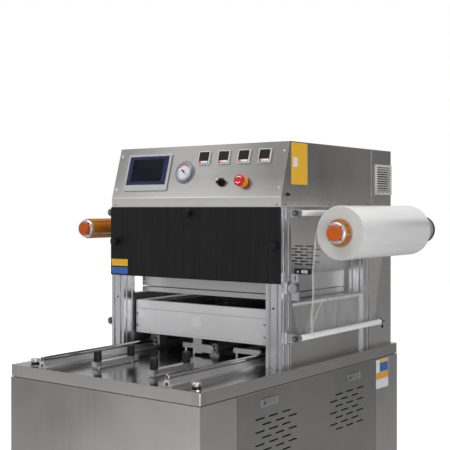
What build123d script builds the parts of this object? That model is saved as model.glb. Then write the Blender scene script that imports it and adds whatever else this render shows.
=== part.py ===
from build123d import *
import math
import os

os.makedirs("parts", exist_ok=True)

# Datum of the machine: heights are taken from the table's top face, depths from the
# table's front edge towards the back, and widths from the machine's middle plane.
TABLE_HEIGHT = 800
MIDDLE = -19
FRONT = -613

# Table and cabinet, folded from stainless sheet
SHEET = 2
TABLE_WIDTH = 805.6
TABLE_DEPTH = 1226
TABLE_EDGE = 38
TABLE_CORNER = 5
GROOVE = 3
CABINET_TOP = -TABLE_EDGE - GROOVE
CABINET_BOTTOM = -720
FLOOR_PLATE = 4
NECK_INSET = 8
NECK_FLANGE = 30
FRONT_WRAP_END = 177.5
REAR_WRAP_START = 1051
DOOR_GAP = 1.5
SLOT_LENGTH = 50
SLOT_HEIGHT = 5
SLOT_NIP = 1.6
SLOT_PITCH_Y = 74
SLOT_PITCH_Z = 20
SLOT_ROWS = 7
SLOT_COLUMNS = 3
SLOT_TOP = -127
FOOT_PAD_RADIUS = 35
FOOT_PAD_HEIGHT = 14
FOOT_PAD_CHAMFER = 5
FOOT_STEM_RADIUS = 8
FOOT_NUT_RADIUS = 14
FOOT_NUT_HEIGHT = 9
FOOT_INSET = 78

# T-slot posts
POST = 60
POST_OUTER = 375.8
POST_FRONT_Y = 454.7
POST_REAR_Y = 1003
SLOT_OFFSET = 15
SLOT_MOUTH = 8
SLOT_LIP = 2.5
SLOT_ROOM = 14
SLOT_DEEP = 7.5
POST_CORE = 14

# Upper housing and rear column
HOUSING_BOTTOM = 525
HOUSING_BEND = 556.7
HOUSING_TOP = 741.3
SLANT_SETBACK = 52.4
HOUSING_BACK = 1066
COLUMN_FRONT = 1069
COLUMN_BACK = 1226

# Drawer and its rails
RAIL_X = 267
RAIL_START = 15
RAIL_END = 1000
SHAFT_RADIUS = 8
SHAFT_HEIGHT = 28
RUNNING_FIT = 0.05
DRAWER_HALF = 305
DRAWER_FRONT = 511
DRAWER_BACK = 960
DRAWER_BOTTOM = 62
DRAWER_SEAM = 151
DRAWER_TOP = 182
DRAWER_WALL = 6
RIM_SIDE = 47
RIM_FRONT = 12
CARRIAGE_PLATE = 12
MOULD_TOP = 176
MOULD_GAP = 0.5
CAVITY_X = 122
CAVITY_WIDTH = 200
CAVITY_DEPTH = 300
CAVITY_CORNER = 18
TRAY_RIM = 7
TRAY_REBATE = 3
DRIVE_X = 34
DRIVE_HEIGHT = 26
PISTON_RADIUS = 6

# Sealing head
HEAD_FRONT = 545
HEAD_BACK = 985
HEAD_LOW = 212
HEAD_SLIT_LOW = 229
HEAD_SLIT_HIGH = 233
HEAD_TOP = 290
PRESS_Y = 765
PRESS_LOW = 390
PRESS_ROD_RADIUS = 20
GUIDE_X = 120
GUIDE_Y = (680, 850)
GUIDE_RADIUS = 10

# Film handling
REEL_X = 554.3
REEL_HEIGHT = 442.3
MANDREL_RADIUS = 38
MANDREL_START = 506
MANDREL_END = 1050
ROLL_RADIUS = 87
ROLL_START = 522
ROLL_END = 1008
ROLL_EDGE = 3
CORE_RADIUS = 46
ROLLER_X = 412
ROLLER_RADIUS = 10
ROLLER_AXLE = 4
ROLLER_START = 505
ROLLER_END = 1063
ROLLER_HEIGHTS = (98, 505)


def level(z):
    """Level plane at height z over the table top."""
    return Plane(origin=(MIDDLE, FRONT, TABLE_HEIGHT + z))


def facing_front(y):
    """Upright plane y behind the table's front edge, looking forwards."""
    return Plane(origin=(MIDDLE, FRONT + y, TABLE_HEIGHT), x_dir=(1, 0, 0), z_dir=(0, -1, 0))


def facing_right(x):
    """Upright plane x right of the middle, looking right: its own x runs to the back."""
    return Plane(origin=(MIDDLE + x, FRONT, TABLE_HEIGHT), x_dir=(0, 1, 0), z_dir=(1, 0, 0))


def block(x, y, z, mode=Mode.ADD):
    """A block between pairs of widths, depths and heights."""
    with BuildSketch(level(z[0])) as outline:
        with Locations(((x[0] + x[1]) / 2, (y[0] + y[1]) / 2)):
            Rectangle(x[1] - x[0], y[1] - y[0])
    extrude(outline.sketch, amount=z[1] - z[0], mode=mode)


def round_bar(x, z, y, radius, mode=Mode.ADD):
    """A round bar that runs from front to back between the depths y."""
    with BuildSketch(facing_front(y[0])) as outline:
        with Locations((x, z)):
            Circle(radius)
    extrude(outline.sketch, amount=y[0] - y[1], mode=mode)


def upright(x, y, z, radius, mode=Mode.ADD):
    """An upright round bar between the heights z."""
    with BuildSketch(level(z[0])) as outline:
        with Locations((x, y)):
            Circle(radius)
    extrude(outline.sketch, amount=z[1] - z[0], mode=mode)


def save(builder, name):
    """Label a finished piece and write it."""
    builder.part.label = name
    export_step(builder.part, f"parts/{name}.step")


# Levelling feet: a round pad on a threaded stem with a nut, under each corner
with BuildPart() as levelling_feet:
    pad_top = -TABLE_HEIGHT + FOOT_PAD_HEIGHT
    nut = (CABINET_BOTTOM - FOOT_NUT_HEIGHT, CABINET_BOTTOM)
    for foot_x in (-TABLE_WIDTH / 2 + FOOT_INSET, TABLE_WIDTH / 2 - FOOT_INSET):
        for foot_y in (FOOT_INSET, TABLE_DEPTH - FOOT_INSET):
            upright(foot_x, foot_y, (-TABLE_HEIGHT, pad_top), FOOT_PAD_RADIUS)
            upright(foot_x, foot_y, (pad_top, CABINET_BOTTOM), FOOT_STEM_RADIUS)
            with BuildSketch(level(nut[0])):
                with Locations((foot_x, foot_y)):
                    RegularPolygon(FOOT_NUT_RADIUS, 6)
            extrude(amount=nut[1] - nut[0])
    rims = levelling_feet.edges().filter_by(GeomType.CIRCLE).filter_by(lambda e: e.radius == FOOT_PAD_RADIUS)
    chamfer(rims.group_by(Axis.Z)[-1], FOOT_PAD_CHAMFER)
save(levelling_feet, "levelling_feet")

# Cabinet shell: a floor plate and two sheets folded round the corners, joined at the top by
# a flange and a narrower neck that carries the table and leaves a groove under its edge
cabinet_half = TABLE_WIDTH / 2
cabinet_inside = cabinet_half - SHEET
wall = (CABINET_BOTTOM, CABINET_TOP)
with BuildPart() as cabinet_shell:
    block((-cabinet_half, cabinet_half), (0, FRONT_WRAP_END), wall)
    block((-cabinet_inside, cabinet_inside), (SHEET, FRONT_WRAP_END), wall, Mode.SUBTRACT)
    block((-cabinet_half, cabinet_half), (REAR_WRAP_START, TABLE_DEPTH), wall)
    block((-cabinet_inside, cabinet_inside), (REAR_WRAP_START, TABLE_DEPTH - SHEET), wall, Mode.SUBTRACT)
    block((-cabinet_half, cabinet_half), (0, TABLE_DEPTH), (CABINET_BOTTOM, CABINET_BOTTOM + FLOOR_PLATE))
    for inset, inner, heights in (
        (0, NECK_FLANGE, (CABINET_TOP - SHEET, CABINET_TOP)),
        (NECK_INSET, NECK_INSET + SHEET, (CABINET_TOP, -SHEET)),
    ):
        with BuildSketch(level(heights[0])):
            with Locations((0, TABLE_DEPTH / 2)):
                Rectangle(TABLE_WIDTH - 2 * inset, TABLE_DEPTH - 2 * inset)
                Rectangle(TABLE_WIDTH - 2 * inner, TABLE_DEPTH - 2 * inner, mode=Mode.SUBTRACT)
        extrude(amount=heights[1] - heights[0])
save(cabinet_shell, "cabinet_shell")


def vent_slots(first_y, shift):
    """Centres of a group of staggered vent slots, where every second row is shifted."""
    centres = []
    for row in range(SLOT_ROWS):
        for column in range(SLOT_COLUMNS):
            slot_y = first_y + column * SLOT_PITCH_Y + (shift if row % 2 else 0)
            centres.append((slot_y, SLOT_TOP - row * SLOT_PITCH_Z))
    return centres


# Side doors: flat sheets between the wraps, with two groups of staggered vent slots
FRONT_GROUP = vent_slots(297, SLOT_PITCH_Y / 2)
REAR_GROUP = vent_slots(781, -SLOT_PITCH_Y / 2)
with BuildPart() as side_doors:
    for side in (-1, 1):
        outer = side * cabinet_half
        block(
            sorted((outer, side * cabinet_inside)),
            (FRONT_WRAP_END + DOOR_GAP, REAR_WRAP_START - DOOR_GAP),
            (CABINET_BOTTOM + FLOOR_PLATE, CABINET_TOP - SHEET),
        )
        with BuildSketch(facing_right(outer)) as slots:
            with Locations(*FRONT_GROUP, *REAR_GROUP):
                Rectangle(SLOT_LENGTH, SLOT_HEIGHT)
            chamfer(slots.vertices(), SLOT_NIP)
        extrude(amount=-side * SHEET, mode=Mode.SUBTRACT)
save(side_doors, "side_doors")

# Door latches: flat frames with a paddle that swings out of a recess
LATCH_Y = (346, 884)
LATCH_Z = -81
LATCH_LENGTH, LATCH_HEIGHT = 89, 27
LATCH_RIM = 3
LATCH_CORNER = 2
PADDLE_LENGTH = 68
with BuildPart() as door_latches:
    for side in (-1, 1):
        for latch_y in LATCH_Y:
            with BuildSketch(facing_right(side * cabinet_half)):
                with Locations((latch_y, LATCH_Z)):
                    RectangleRounded(LATCH_LENGTH, LATCH_HEIGHT, LATCH_CORNER)
            extrude(amount=side * LATCH_RIM)
            with BuildSketch(facing_right(side * (cabinet_half + LATCH_RIM))):
                with Locations((latch_y, LATCH_Z)):
                    Rectangle(LATCH_LENGTH - 2 * LATCH_RIM, LATCH_HEIGHT - 2 * LATCH_RIM)
                with Locations((latch_y + (LATCH_LENGTH - PADDLE_LENGTH) / 2 - LATCH_RIM, LATCH_Z)):
                    Rectangle(PADDLE_LENGTH, LATCH_HEIGHT - 2 * LATCH_RIM, mode=Mode.SUBTRACT)
            extrude(amount=-side * LATCH_RIM * 2 / 3, mode=Mode.SUBTRACT)
save(door_latches, "door_latches")

# Table top: a folded tray of sheet, open below, with its edge turned down
with BuildPart() as table_top:
    block((-TABLE_WIDTH / 2, TABLE_WIDTH / 2), (0, TABLE_DEPTH), (-TABLE_EDGE, 0))
    fillet(table_top.edges().filter_by(Axis.Z), TABLE_CORNER)
    offset(amount=-SHEET, openings=table_top.faces().sort_by(Axis.Z)[0])
save(table_top, "table_top")

# Rail supports: an aluminium foot flange and a tapered web that cradles the shaft
RAIL_FOOT = 20
RAIL_FOOT_HEIGHT = 5
WEB_HALF_LOW, WEB_HALF_HIGH = 13, 7
WEB_TOP = 22
RAIL_HALF_SECTION = (
    (0, 0),
    (RAIL_FOOT, 0),
    (RAIL_FOOT, RAIL_FOOT_HEIGHT),
    (WEB_HALF_LOW, RAIL_FOOT_HEIGHT + 1),
    (WEB_HALF_HIGH, WEB_TOP),
    (0, WEB_TOP),
)
RAIL_BORE_HEIGHT, RAIL_BORE = 9, 3.2
SHAFT_CHAMFER = 1
with BuildPart() as rail_supports:
    for rail_x in (-RAIL_X, RAIL_X):
        with BuildSketch(facing_front(RAIL_START)):
            for half_side in (-1, 1):
                with BuildLine():
                    Polyline(*[(rail_x + half_side * x, z) for x, z in RAIL_HALF_SECTION], close=True)
                make_face()
            with Locations((rail_x, RAIL_BORE_HEIGHT)):
                Circle(RAIL_BORE, mode=Mode.SUBTRACT)
            with Locations((rail_x, SHAFT_HEIGHT)):
                Circle(SHAFT_RADIUS, mode=Mode.SUBTRACT)
        extrude(amount=RAIL_START - RAIL_END)
save(rail_supports, "rail_supports")

with BuildPart() as rail_shafts:
    for rail_x in (-RAIL_X, RAIL_X):
        round_bar(rail_x, SHAFT_HEIGHT, (RAIL_START, RAIL_END), SHAFT_RADIUS)
    chamfer(rail_shafts.edges().filter_by(GeomType.CIRCLE), SHAFT_CHAMFER)
save(rail_shafts, "rail_shafts")

# Bars on the table: two long ones that carry the rubber posts, and two short stops
BAR_HALF = 12
LONG_BAR_Y, LONG_BAR_Z = (108, 306), (5, 20)
LONG_BAR_FEET = (128, 286)
STOP_BARS = ((-112, -54), (116, 229))
STOP_BAR_Y, STOP_BAR_Z = (548, 562), (19, 36)
STOP_FOOT_INSET, STOP_FOOT_RADIUS = 10, 5
with BuildPart() as table_bars:
    for bar_x in (-CAVITY_X, CAVITY_X):
        block((bar_x - BAR_HALF, bar_x + BAR_HALF), LONG_BAR_Y, LONG_BAR_Z)
        for foot_y in LONG_BAR_FEET:
            upright(bar_x, foot_y, (0, LONG_BAR_Z[0]), BAR_HALF / 2)
    for bar in STOP_BARS:
        block(bar, STOP_BAR_Y, STOP_BAR_Z)
        for foot_x in (bar[0] + STOP_FOOT_INSET, bar[1] - STOP_FOOT_INSET):
            upright(foot_x, sum(STOP_BAR_Y) / 2, (0, STOP_BAR_Z[0]), STOP_FOOT_RADIUS)
save(table_bars, "table_bars")

# Rubber posts: one near each end of a long bar
POST_Y = (124, 283)
POST_TOP = 56
RUBBER_RADIUS = 13
RUBBER_CHAMFER = 1.5
with BuildPart() as rubber_posts:
    for bar_x in (-CAVITY_X, CAVITY_X):
        for post_y in POST_Y:
            upright(bar_x, post_y, (LONG_BAR_Z[1], POST_TOP), RUBBER_RADIUS)
    chamfer(rubber_posts.edges().filter_by(GeomType.CIRCLE), RUBBER_CHAMFER)
save(rubber_posts, "rubber_posts")

# Start buttons: a stem in a collar on the table, with a cap that is pressed down
START_BUTTONS = {"left": (-326, 38), "right": (366, 30)}
COLLAR_TOP = 10
STEM_RADIUS, STEM_LOW = 9, 6
CAP_RADIUS = 15
CAP_Z = (16, 22)
CAP_ROUND = 2
for name, (button_x, button_y) in START_BUTTONS.items():
    with BuildPart() as cap:
        upright(button_x, button_y, (STEM_LOW, CAP_Z[0]), STEM_RADIUS)
        upright(button_x, button_y, CAP_Z, CAP_RADIUS)
        fillet(cap.edges().sort_by(Axis.Z)[-1], CAP_ROUND)
    save(cap, f"start_button_{name}")


def post_profile(x, y):
    """Section of a square extrusion with two T-slots on each face."""
    with Locations((x, y)):
        Rectangle(POST, POST)
        Rectangle(POST_CORE, POST_CORE, mode=Mode.SUBTRACT)
        for turn in (0, 90, 180, 270):
            with Locations(Location((0, 0, 0), (0, 0, turn))):
                for shift in (-SLOT_OFFSET, SLOT_OFFSET):
                    with Locations((shift, POST / 2 - SLOT_LIP / 2)):
                        Rectangle(SLOT_MOUTH, SLOT_LIP, mode=Mode.SUBTRACT)
                    with Locations((shift, POST / 2 - (SLOT_LIP + SLOT_DEEP) / 2)):
                        Rectangle(SLOT_ROOM, SLOT_DEEP - SLOT_LIP, mode=Mode.SUBTRACT)


# Four posts between the table and the upper housing, each front one with an access hole
ACCESS_HOLE_HEIGHT, ACCESS_HOLE_RADIUS = 195, 4
post_middle = POST_OUTER - POST / 2
with BuildPart() as posts:
    with BuildSketch(level(0)):
        for side in (-1, 1):
            for post_y in (POST_FRONT_Y, POST_REAR_Y):
                post_profile(side * post_middle, post_y + POST / 2)
    extrude(amount=HOUSING_BOTTOM)
    for post_x in (-post_middle, post_middle):
        hole_y = (POST_FRONT_Y, POST_FRONT_Y + POST / 2)
        round_bar(post_x, ACCESS_HOLE_HEIGHT, hole_y, ACCESS_HOLE_RADIUS, Mode.SUBTRACT)
save(posts, "posts")

# Lower side panels between the posts, with a flange folded inwards along the top
PANEL_OUTER = 366
PANEL_TOP = 203
PANEL_FLANGE = 25
with BuildPart() as side_panels:
    depth = (POST_FRONT_Y + POST, POST_REAR_Y)
    for side in (-1, 1):
        outer, inner, flange = (side * (PANEL_OUTER - step) for step in (0, SHEET, PANEL_FLANGE))
        block(sorted((inner, outer)), depth, (0, PANEL_TOP))
        block(sorted((flange, outer)), depth, (PANEL_TOP - SHEET, PANEL_TOP))
save(side_panels, "side_panels")

# Upper housing: one folded shell, open below, with a slanted front
slant = math.atan2(SLANT_SETBACK, HOUSING_TOP - HOUSING_BEND)
with BuildPart() as upper_housing:
    with BuildSketch(facing_right(-POST_OUTER)):
        with BuildLine():
            Polyline(
                (POST_FRONT_Y, HOUSING_BOTTOM),
                (HOUSING_BACK, HOUSING_BOTTOM),
                (HOUSING_BACK, HOUSING_TOP),
                (POST_FRONT_Y + SLANT_SETBACK, HOUSING_TOP),
                (POST_FRONT_Y, HOUSING_BEND),
                close=True,
            )
        make_face()
    extrude(amount=2 * POST_OUTER)
    offset(amount=-SHEET, openings=upper_housing.faces().sort_by(Axis.Z)[0])
save(upper_housing, "upper_housing")

# Housing floor: a flat sheet that closes the housing from below
shell_inside = POST_OUTER - SHEET
floor_depth = (POST_FRONT_Y + SHEET, HOUSING_BACK - SHEET)
with BuildPart() as housing_floor:
    block((-shell_inside, shell_inside), floor_depth, (HOUSING_BOTTOM, HOUSING_BOTTOM + SHEET))
save(housing_floor, "housing_floor")

# Slanted panel plane: its own y runs up the slope from the bend
PANEL = Plane(
    origin=(MIDDLE, FRONT + POST_FRONT_Y, TABLE_HEIGHT + HOUSING_BEND),
    x_dir=(1, 0, 0),
    z_dir=(0, -math.cos(slant), math.sin(slant)),
)


def on_panel(width, height, x, up, low, high, mode=Mode.ADD):
    """A rectangular block on the slanted panel between two stand-off distances."""
    with BuildSketch(PANEL.offset(low)) as outline:
        with Locations((x, up)):
            Rectangle(width, height)
    extrude(outline.sketch, amount=high - low, mode=mode)


def disc_on_panel(radius, x, up, low, high, mode=Mode.ADD):
    """A round disc on the slanted panel between two stand-off distances."""
    with BuildSketch(PANEL.offset(low)) as outline:
        with Locations((x, up)):
            Circle(radius)
    extrude(outline.sketch, amount=high - low, mode=mode)


# Touch screen: a metal frame with a wider strip below, and its glass
SCREEN_X, SCREEN_UP = -220, 96
SCREEN_WIDTH, SCREEN_HEIGHT = 207, 139
SCREEN_OUT = 6
SCREEN_CORNER = 5
SCREEN_CHAMFER = 1.5
GLASS_WIDTH, GLASS_HEIGHT = 189, 108
GLASS_UP = SCREEN_UP + 7
GLASS_BED = 2
GLASS_OUT = 5
GLASS_GAP = 0.2
with BuildPart() as screen_frame:
    with BuildSketch(PANEL):
        with Locations((SCREEN_X, SCREEN_UP)):
            RectangleRounded(SCREEN_WIDTH, SCREEN_HEIGHT, SCREEN_CORNER)
    extrude(amount=SCREEN_OUT)
    chamfer(screen_frame.faces().sort_by(Axis.Y)[0].edges(), SCREEN_CHAMFER)
    on_panel(GLASS_WIDTH, GLASS_HEIGHT, SCREEN_X, GLASS_UP, GLASS_BED, SCREEN_OUT, Mode.SUBTRACT)
save(screen_frame, "screen_frame")

with BuildPart() as screen_glass:
    glass_size = (GLASS_WIDTH - 2 * GLASS_GAP, GLASS_HEIGHT - 2 * GLASS_GAP)
    on_panel(*glass_size, SCREEN_X, GLASS_UP, GLASS_BED, GLASS_OUT)
save(screen_glass, "screen_glass")

# Vacuum gauge: a flange on the panel, a round case, its bezel ring and the dial inside
GAUGE_X, GAUGE_UP = -46, 94
GAUGE_FLANGE, FLANGE_OUT = 42, 3
GAUGE_CASE, CASE_OUT = 34, 7
GAUGE_BEZEL, BEZEL_OUT = 36, 12
BEZEL_CHAMFER = 1.5
GAUGE_DIAL, DIAL_OUT = 31.5, 8
with BuildPart() as vacuum_gauge:
    disc_on_panel(GAUGE_FLANGE, GAUGE_X, GAUGE_UP, 0, FLANGE_OUT)
    disc_on_panel(GAUGE_CASE, GAUGE_X, GAUGE_UP, FLANGE_OUT, CASE_OUT)
    disc_on_panel(GAUGE_BEZEL, GAUGE_X, GAUGE_UP, CASE_OUT, BEZEL_OUT)
    chamfer(vacuum_gauge.edges().filter_by(GeomType.CIRCLE).sort_by(Axis.Y)[0], BEZEL_CHAMFER)
    disc_on_panel(GAUGE_DIAL, GAUGE_X, GAUGE_UP, DIAL_OUT, BEZEL_OUT, Mode.SUBTRACT)
save(vacuum_gauge, "vacuum_gauge")

# Temperature controllers in a row, each with a sunk face
CONTROLLER_X = (33, 118, 203, 288)
CONTROLLER_UP = 143
CONTROLLER = 48
CONTROLLER_FACE = 43
CONTROLLER_OUT = 7
CONTROLLER_SUNK = 1.5
with BuildPart() as temperature_controllers:
    for x in CONTROLLER_X:
        on_panel(CONTROLLER, CONTROLLER, x, CONTROLLER_UP, 0, CONTROLLER_OUT)
        on_panel(
            CONTROLLER_FACE,
            CONTROLLER_FACE,
            x,
            CONTROLLER_UP,
            CONTROLLER_OUT - CONTROLLER_SUNK,
            CONTROLLER_OUT,
            Mode.SUBTRACT,
        )
save(temperature_controllers, "temperature_controllers")

# Black collars: the selector's on the panel, and one under each start button on the table
SWITCH_X, SWITCH_UP = 124, 54
SWITCH_COLLAR, SWITCH_COLLAR_OUT = 15, 5
SWITCH_STEM = 6
COLLAR_BASE, COLLAR_BASE_TOP = 16, 3
COLLAR_RING = 13
COLLAR_BORE, COLLAR_BORE_LOW = 9.5, 2
with BuildPart() as button_collars:
    disc_on_panel(SWITCH_COLLAR, SWITCH_X, SWITCH_UP, 0, SWITCH_COLLAR_OUT)
    disc_on_panel(SWITCH_STEM, SWITCH_X, SWITCH_UP, 0, SWITCH_COLLAR_OUT, Mode.SUBTRACT)
    for button_x, button_y in START_BUTTONS.values():
        upright(button_x, button_y, (0, COLLAR_BASE_TOP), COLLAR_BASE)
        upright(button_x, button_y, (COLLAR_BASE_TOP, COLLAR_TOP), COLLAR_RING)
        upright(button_x, button_y, (COLLAR_BORE_LOW, COLLAR_TOP), COLLAR_BORE, Mode.SUBTRACT)
save(button_collars, "button_collars")

# Selector knob: a turning disc with a raised grip
KNOB_STEM_LOW = 1
KNOB_DISC, DISC_LOW = 12, 5.5
GRIP_LENGTH, GRIP_WIDTH = 23, 8
GRIP_TURN = 45
GRIP_OUT = (12, 22)
with BuildPart() as selector_knob:
    disc_on_panel(SWITCH_STEM - RUNNING_FIT, SWITCH_X, SWITCH_UP, KNOB_STEM_LOW, DISC_LOW)
    disc_on_panel(KNOB_DISC, SWITCH_X, SWITCH_UP, DISC_LOW, GRIP_OUT[0])
    with BuildSketch(PANEL.offset(GRIP_OUT[0])):
        with Locations(Location((SWITCH_X, SWITCH_UP, 0), (0, 0, GRIP_TURN))):
            SlotOverall(GRIP_LENGTH, GRIP_WIDTH)
    extrude(amount=GRIP_OUT[1] - GRIP_OUT[0])
save(selector_knob, "selector_knob")

# Emergency stop: a collar, and a mushroom head on a stem
STOP_X, STOP_UP = 213, 54
STOP_STEM, STOP_STEM_LOW = 10, 6
STOP_HEAD = 20
STOP_HEAD_OUT = (18, 28)
STOP_HEAD_ROUND = 5
STOP_RING, RING_OUT = 14, (3, 12)
with BuildPart() as stop_collar:
    disc_on_panel(STOP_HEAD, STOP_X, STOP_UP, 0, RING_OUT[0])
    disc_on_panel(STOP_RING, STOP_X, STOP_UP, *RING_OUT)
    disc_on_panel(STOP_STEM, STOP_X, STOP_UP, 0, RING_OUT[1], Mode.SUBTRACT)
save(stop_collar, "stop_collar")

with BuildPart() as stop_button:
    disc_on_panel(STOP_STEM - RUNNING_FIT, STOP_X, STOP_UP, STOP_STEM_LOW, STOP_HEAD_OUT[0])
    disc_on_panel(STOP_HEAD, STOP_X, STOP_UP, *STOP_HEAD_OUT)
    rims = stop_button.edges().filter_by(GeomType.CIRCLE)
    fillet(rims.sort_by(Axis(PANEL.origin, PANEL.z_dir))[-1], STOP_HEAD_ROUND)
save(stop_button, "stop_button")

# Black front cover with its three lobed knobs
COVER_FACE = 448.7
COVER_LOW, COVER_HIGH = 275.2, 522
COVER_CORNER = 4
COVER_KNOBS = ((0, 504), (-343, 399), (356, 399))
KNOB_NECK = 7
KNOB_RADIUS = 14
KNOB_LOBES, LOBE_RADIUS = 6, 4
LOBE_RING = KNOB_RADIUS + LOBE_RADIUS / 2
KNOB_NEAR, KNOB_FAR = COVER_FACE - 24, COVER_FACE - 10
with BuildPart() as front_cover:
    with BuildSketch(facing_front(COVER_FACE)):
        with Locations((0, (COVER_LOW + COVER_HIGH) / 2)):
            RectangleRounded(2 * POST_OUTER, COVER_HIGH - COVER_LOW, COVER_CORNER)
    extrude(amount=COVER_FACE - POST_FRONT_Y)
save(front_cover, "front_cover")

with BuildPart() as cover_knobs:
    for knob_x, knob_z in COVER_KNOBS:
        round_bar(knob_x, knob_z, (KNOB_FAR, COVER_FACE), KNOB_NECK)
        with BuildSketch(facing_front(KNOB_NEAR)):
            with Locations((knob_x, knob_z)):
                Circle(KNOB_RADIUS)
                with PolarLocations(LOBE_RING, KNOB_LOBES):
                    Circle(LOBE_RADIUS, mode=Mode.SUBTRACT)
        extrude(amount=KNOB_NEAR - KNOB_FAR)
save(cover_knobs, "cover_knobs")

# Rear column: a folded shell, open to the front, closed by a sheet with vent slots
CABLE_HOLE_Y, CABLE_HOLE_Z, CABLE_HOLE = 1155, 71.5, 9.5
with BuildPart() as rear_column:
    block((-POST_OUTER, POST_OUTER), (COLUMN_FRONT, COLUMN_BACK), (0, HOUSING_TOP))
    offset(amount=-SHEET, openings=rear_column.faces().sort_by(Axis.Y)[0])
    with BuildSketch(facing_right(POST_OUTER)):
        with Locations((CABLE_HOLE_Y, CABLE_HOLE_Z)):
            Circle(CABLE_HOLE)
    extrude(amount=-SHEET, mode=Mode.SUBTRACT)
save(rear_column, "rear_column")

# Column front: a sheet with its own group of vent slots and a hole for the drive cylinder
FRONT_SLOT_TOP = 371
FRONT_SLOT_LENGTH = 40
FRONT_SLOT_PITCH_X, FRONT_SLOT_PITCH_Z = 52, 12
FRONT_SLOT_ROWS, FRONT_SLOT_COLUMNS = 7, 5
DRIVE_HOLE = 21
with BuildPart() as column_front:
    block((-shell_inside, shell_inside), (COLUMN_FRONT, COLUMN_FRONT + SHEET), (SHEET, HOUSING_TOP - SHEET))
    with BuildSketch(facing_front(COLUMN_FRONT)) as slots:
        for row in range(FRONT_SLOT_ROWS):
            slot_z = FRONT_SLOT_TOP - row * FRONT_SLOT_PITCH_Z
            row_x = FRONT_SLOT_PITCH_X / 2 if row % 2 else 0
            with Locations((row_x, slot_z)):
                with GridLocations(FRONT_SLOT_PITCH_X, 0, FRONT_SLOT_COLUMNS, 1):
                    Rectangle(FRONT_SLOT_LENGTH, SLOT_HEIGHT)
        chamfer(slots.vertices(), SLOT_NIP)
    extrude(amount=-SHEET, mode=Mode.SUBTRACT)
    round_bar(DRIVE_X, DRIVE_HEIGHT, (COLUMN_FRONT, COLUMN_FRONT + SHEET), DRIVE_HOLE, Mode.SUBTRACT)
save(column_front, "column_front")

# Louvre vents high on the column's sides: a frame with slanted blades
VENT_Y, VENT_Z = (1096, 1222), (572, 686)
VENT_RIM = 8
VENT_DEPTH = 6
BLADES = 11
BLADE_PITCH = 8.8
BLADE_START = 3
BLADE_SECTION = ((0, 4), (5, 0), (5, -1.5), (0, 2.5))
with BuildPart() as louvre_vents:
    blade_y = (VENT_Y[0] + VENT_RIM, VENT_Y[1] - VENT_RIM)
    blade_z = (VENT_Z[0] + VENT_RIM, VENT_Z[1] - VENT_RIM)
    for side in (-1, 1):
        vent_x = sorted((side * POST_OUTER, side * (POST_OUTER + VENT_DEPTH)))
        block(vent_x, VENT_Y, VENT_Z)
        block(vent_x, blade_y, blade_z, Mode.SUBTRACT)
        for blade in range(BLADES):
            z = blade_z[0] + BLADE_START + blade * BLADE_PITCH
            with BuildSketch(facing_front(blade_y[0])):
                with BuildLine():
                    Polyline(*[(side * (POST_OUTER + out), z + up) for out, up in BLADE_SECTION], close=True)
                make_face()
            extrude(amount=blade_y[0] - blade_y[1])
save(louvre_vents, "louvre_vents")

# Drawer: a top frame over four plates, with the tray mould inside
with BuildPart() as drawer_frame:
    block((-DRAWER_HALF, DRAWER_HALF), (DRAWER_FRONT, DRAWER_BACK), (DRAWER_SEAM, DRAWER_TOP))
    block(
        (-DRAWER_HALF + RIM_SIDE, DRAWER_HALF - RIM_SIDE),
        (DRAWER_FRONT + RIM_FRONT, DRAWER_BACK - RIM_FRONT),
        (DRAWER_SEAM, DRAWER_TOP),
        Mode.SUBTRACT,
    )
save(drawer_frame, "drawer_frame")

# Drawer box: front, back and side plates under the top frame
box_x = (-DRAWER_HALF + DRAWER_WALL, DRAWER_HALF - DRAWER_WALL)
box_y = (DRAWER_FRONT + DRAWER_WALL, DRAWER_BACK - DRAWER_WALL)
with BuildPart() as drawer_box:
    block((-DRAWER_HALF, DRAWER_HALF), (DRAWER_FRONT, DRAWER_BACK), (DRAWER_BOTTOM, DRAWER_SEAM))
    block(box_x, box_y, (DRAWER_BOTTOM, DRAWER_SEAM), Mode.SUBTRACT)
save(drawer_box, "drawer_box")


def cavities(z, grow, mode):
    """The outlines of the two tray cavities, cut or added between two heights."""
    with BuildSketch(level(z[0])) as outline:
        with Locations((0, mould_middle)):
            with GridLocations(2 * CAVITY_X, 0, 2, 1):
                RectangleRounded(CAVITY_WIDTH + 2 * grow, CAVITY_DEPTH + 2 * grow, CAVITY_CORNER + grow)
    extrude(outline.sketch, amount=z[1] - z[0], mode=mode)


# Carriage: a plate across the foot of the drawer box that carries the mould
mould_middle = (DRAWER_FRONT + DRAWER_BACK) / 2
carriage_top = DRAWER_BOTTOM + CARRIAGE_PLATE
with BuildPart() as carriage:
    block(box_x, box_y, (DRAWER_BOTTOM, carriage_top))
    cavities((DRAWER_BOTTOM, carriage_top), 0, Mode.SUBTRACT)
save(carriage, "carriage")

# Tray mould: a block with two through cavities, and a rebate round each for the tray's rim
mould_half = DRAWER_HALF - RIM_SIDE - MOULD_GAP
mould_y = (DRAWER_FRONT + RIM_FRONT + MOULD_GAP, DRAWER_BACK - RIM_FRONT - MOULD_GAP)
with BuildPart() as tray_mould:
    block((-mould_half, mould_half), mould_y, (carriage_top, MOULD_TOP))
    cavities((carriage_top, MOULD_TOP), 0, Mode.SUBTRACT)
    cavities((MOULD_TOP - TRAY_REBATE, MOULD_TOP), TRAY_RIM, Mode.SUBTRACT)
save(tray_mould, "tray_mould")

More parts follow.
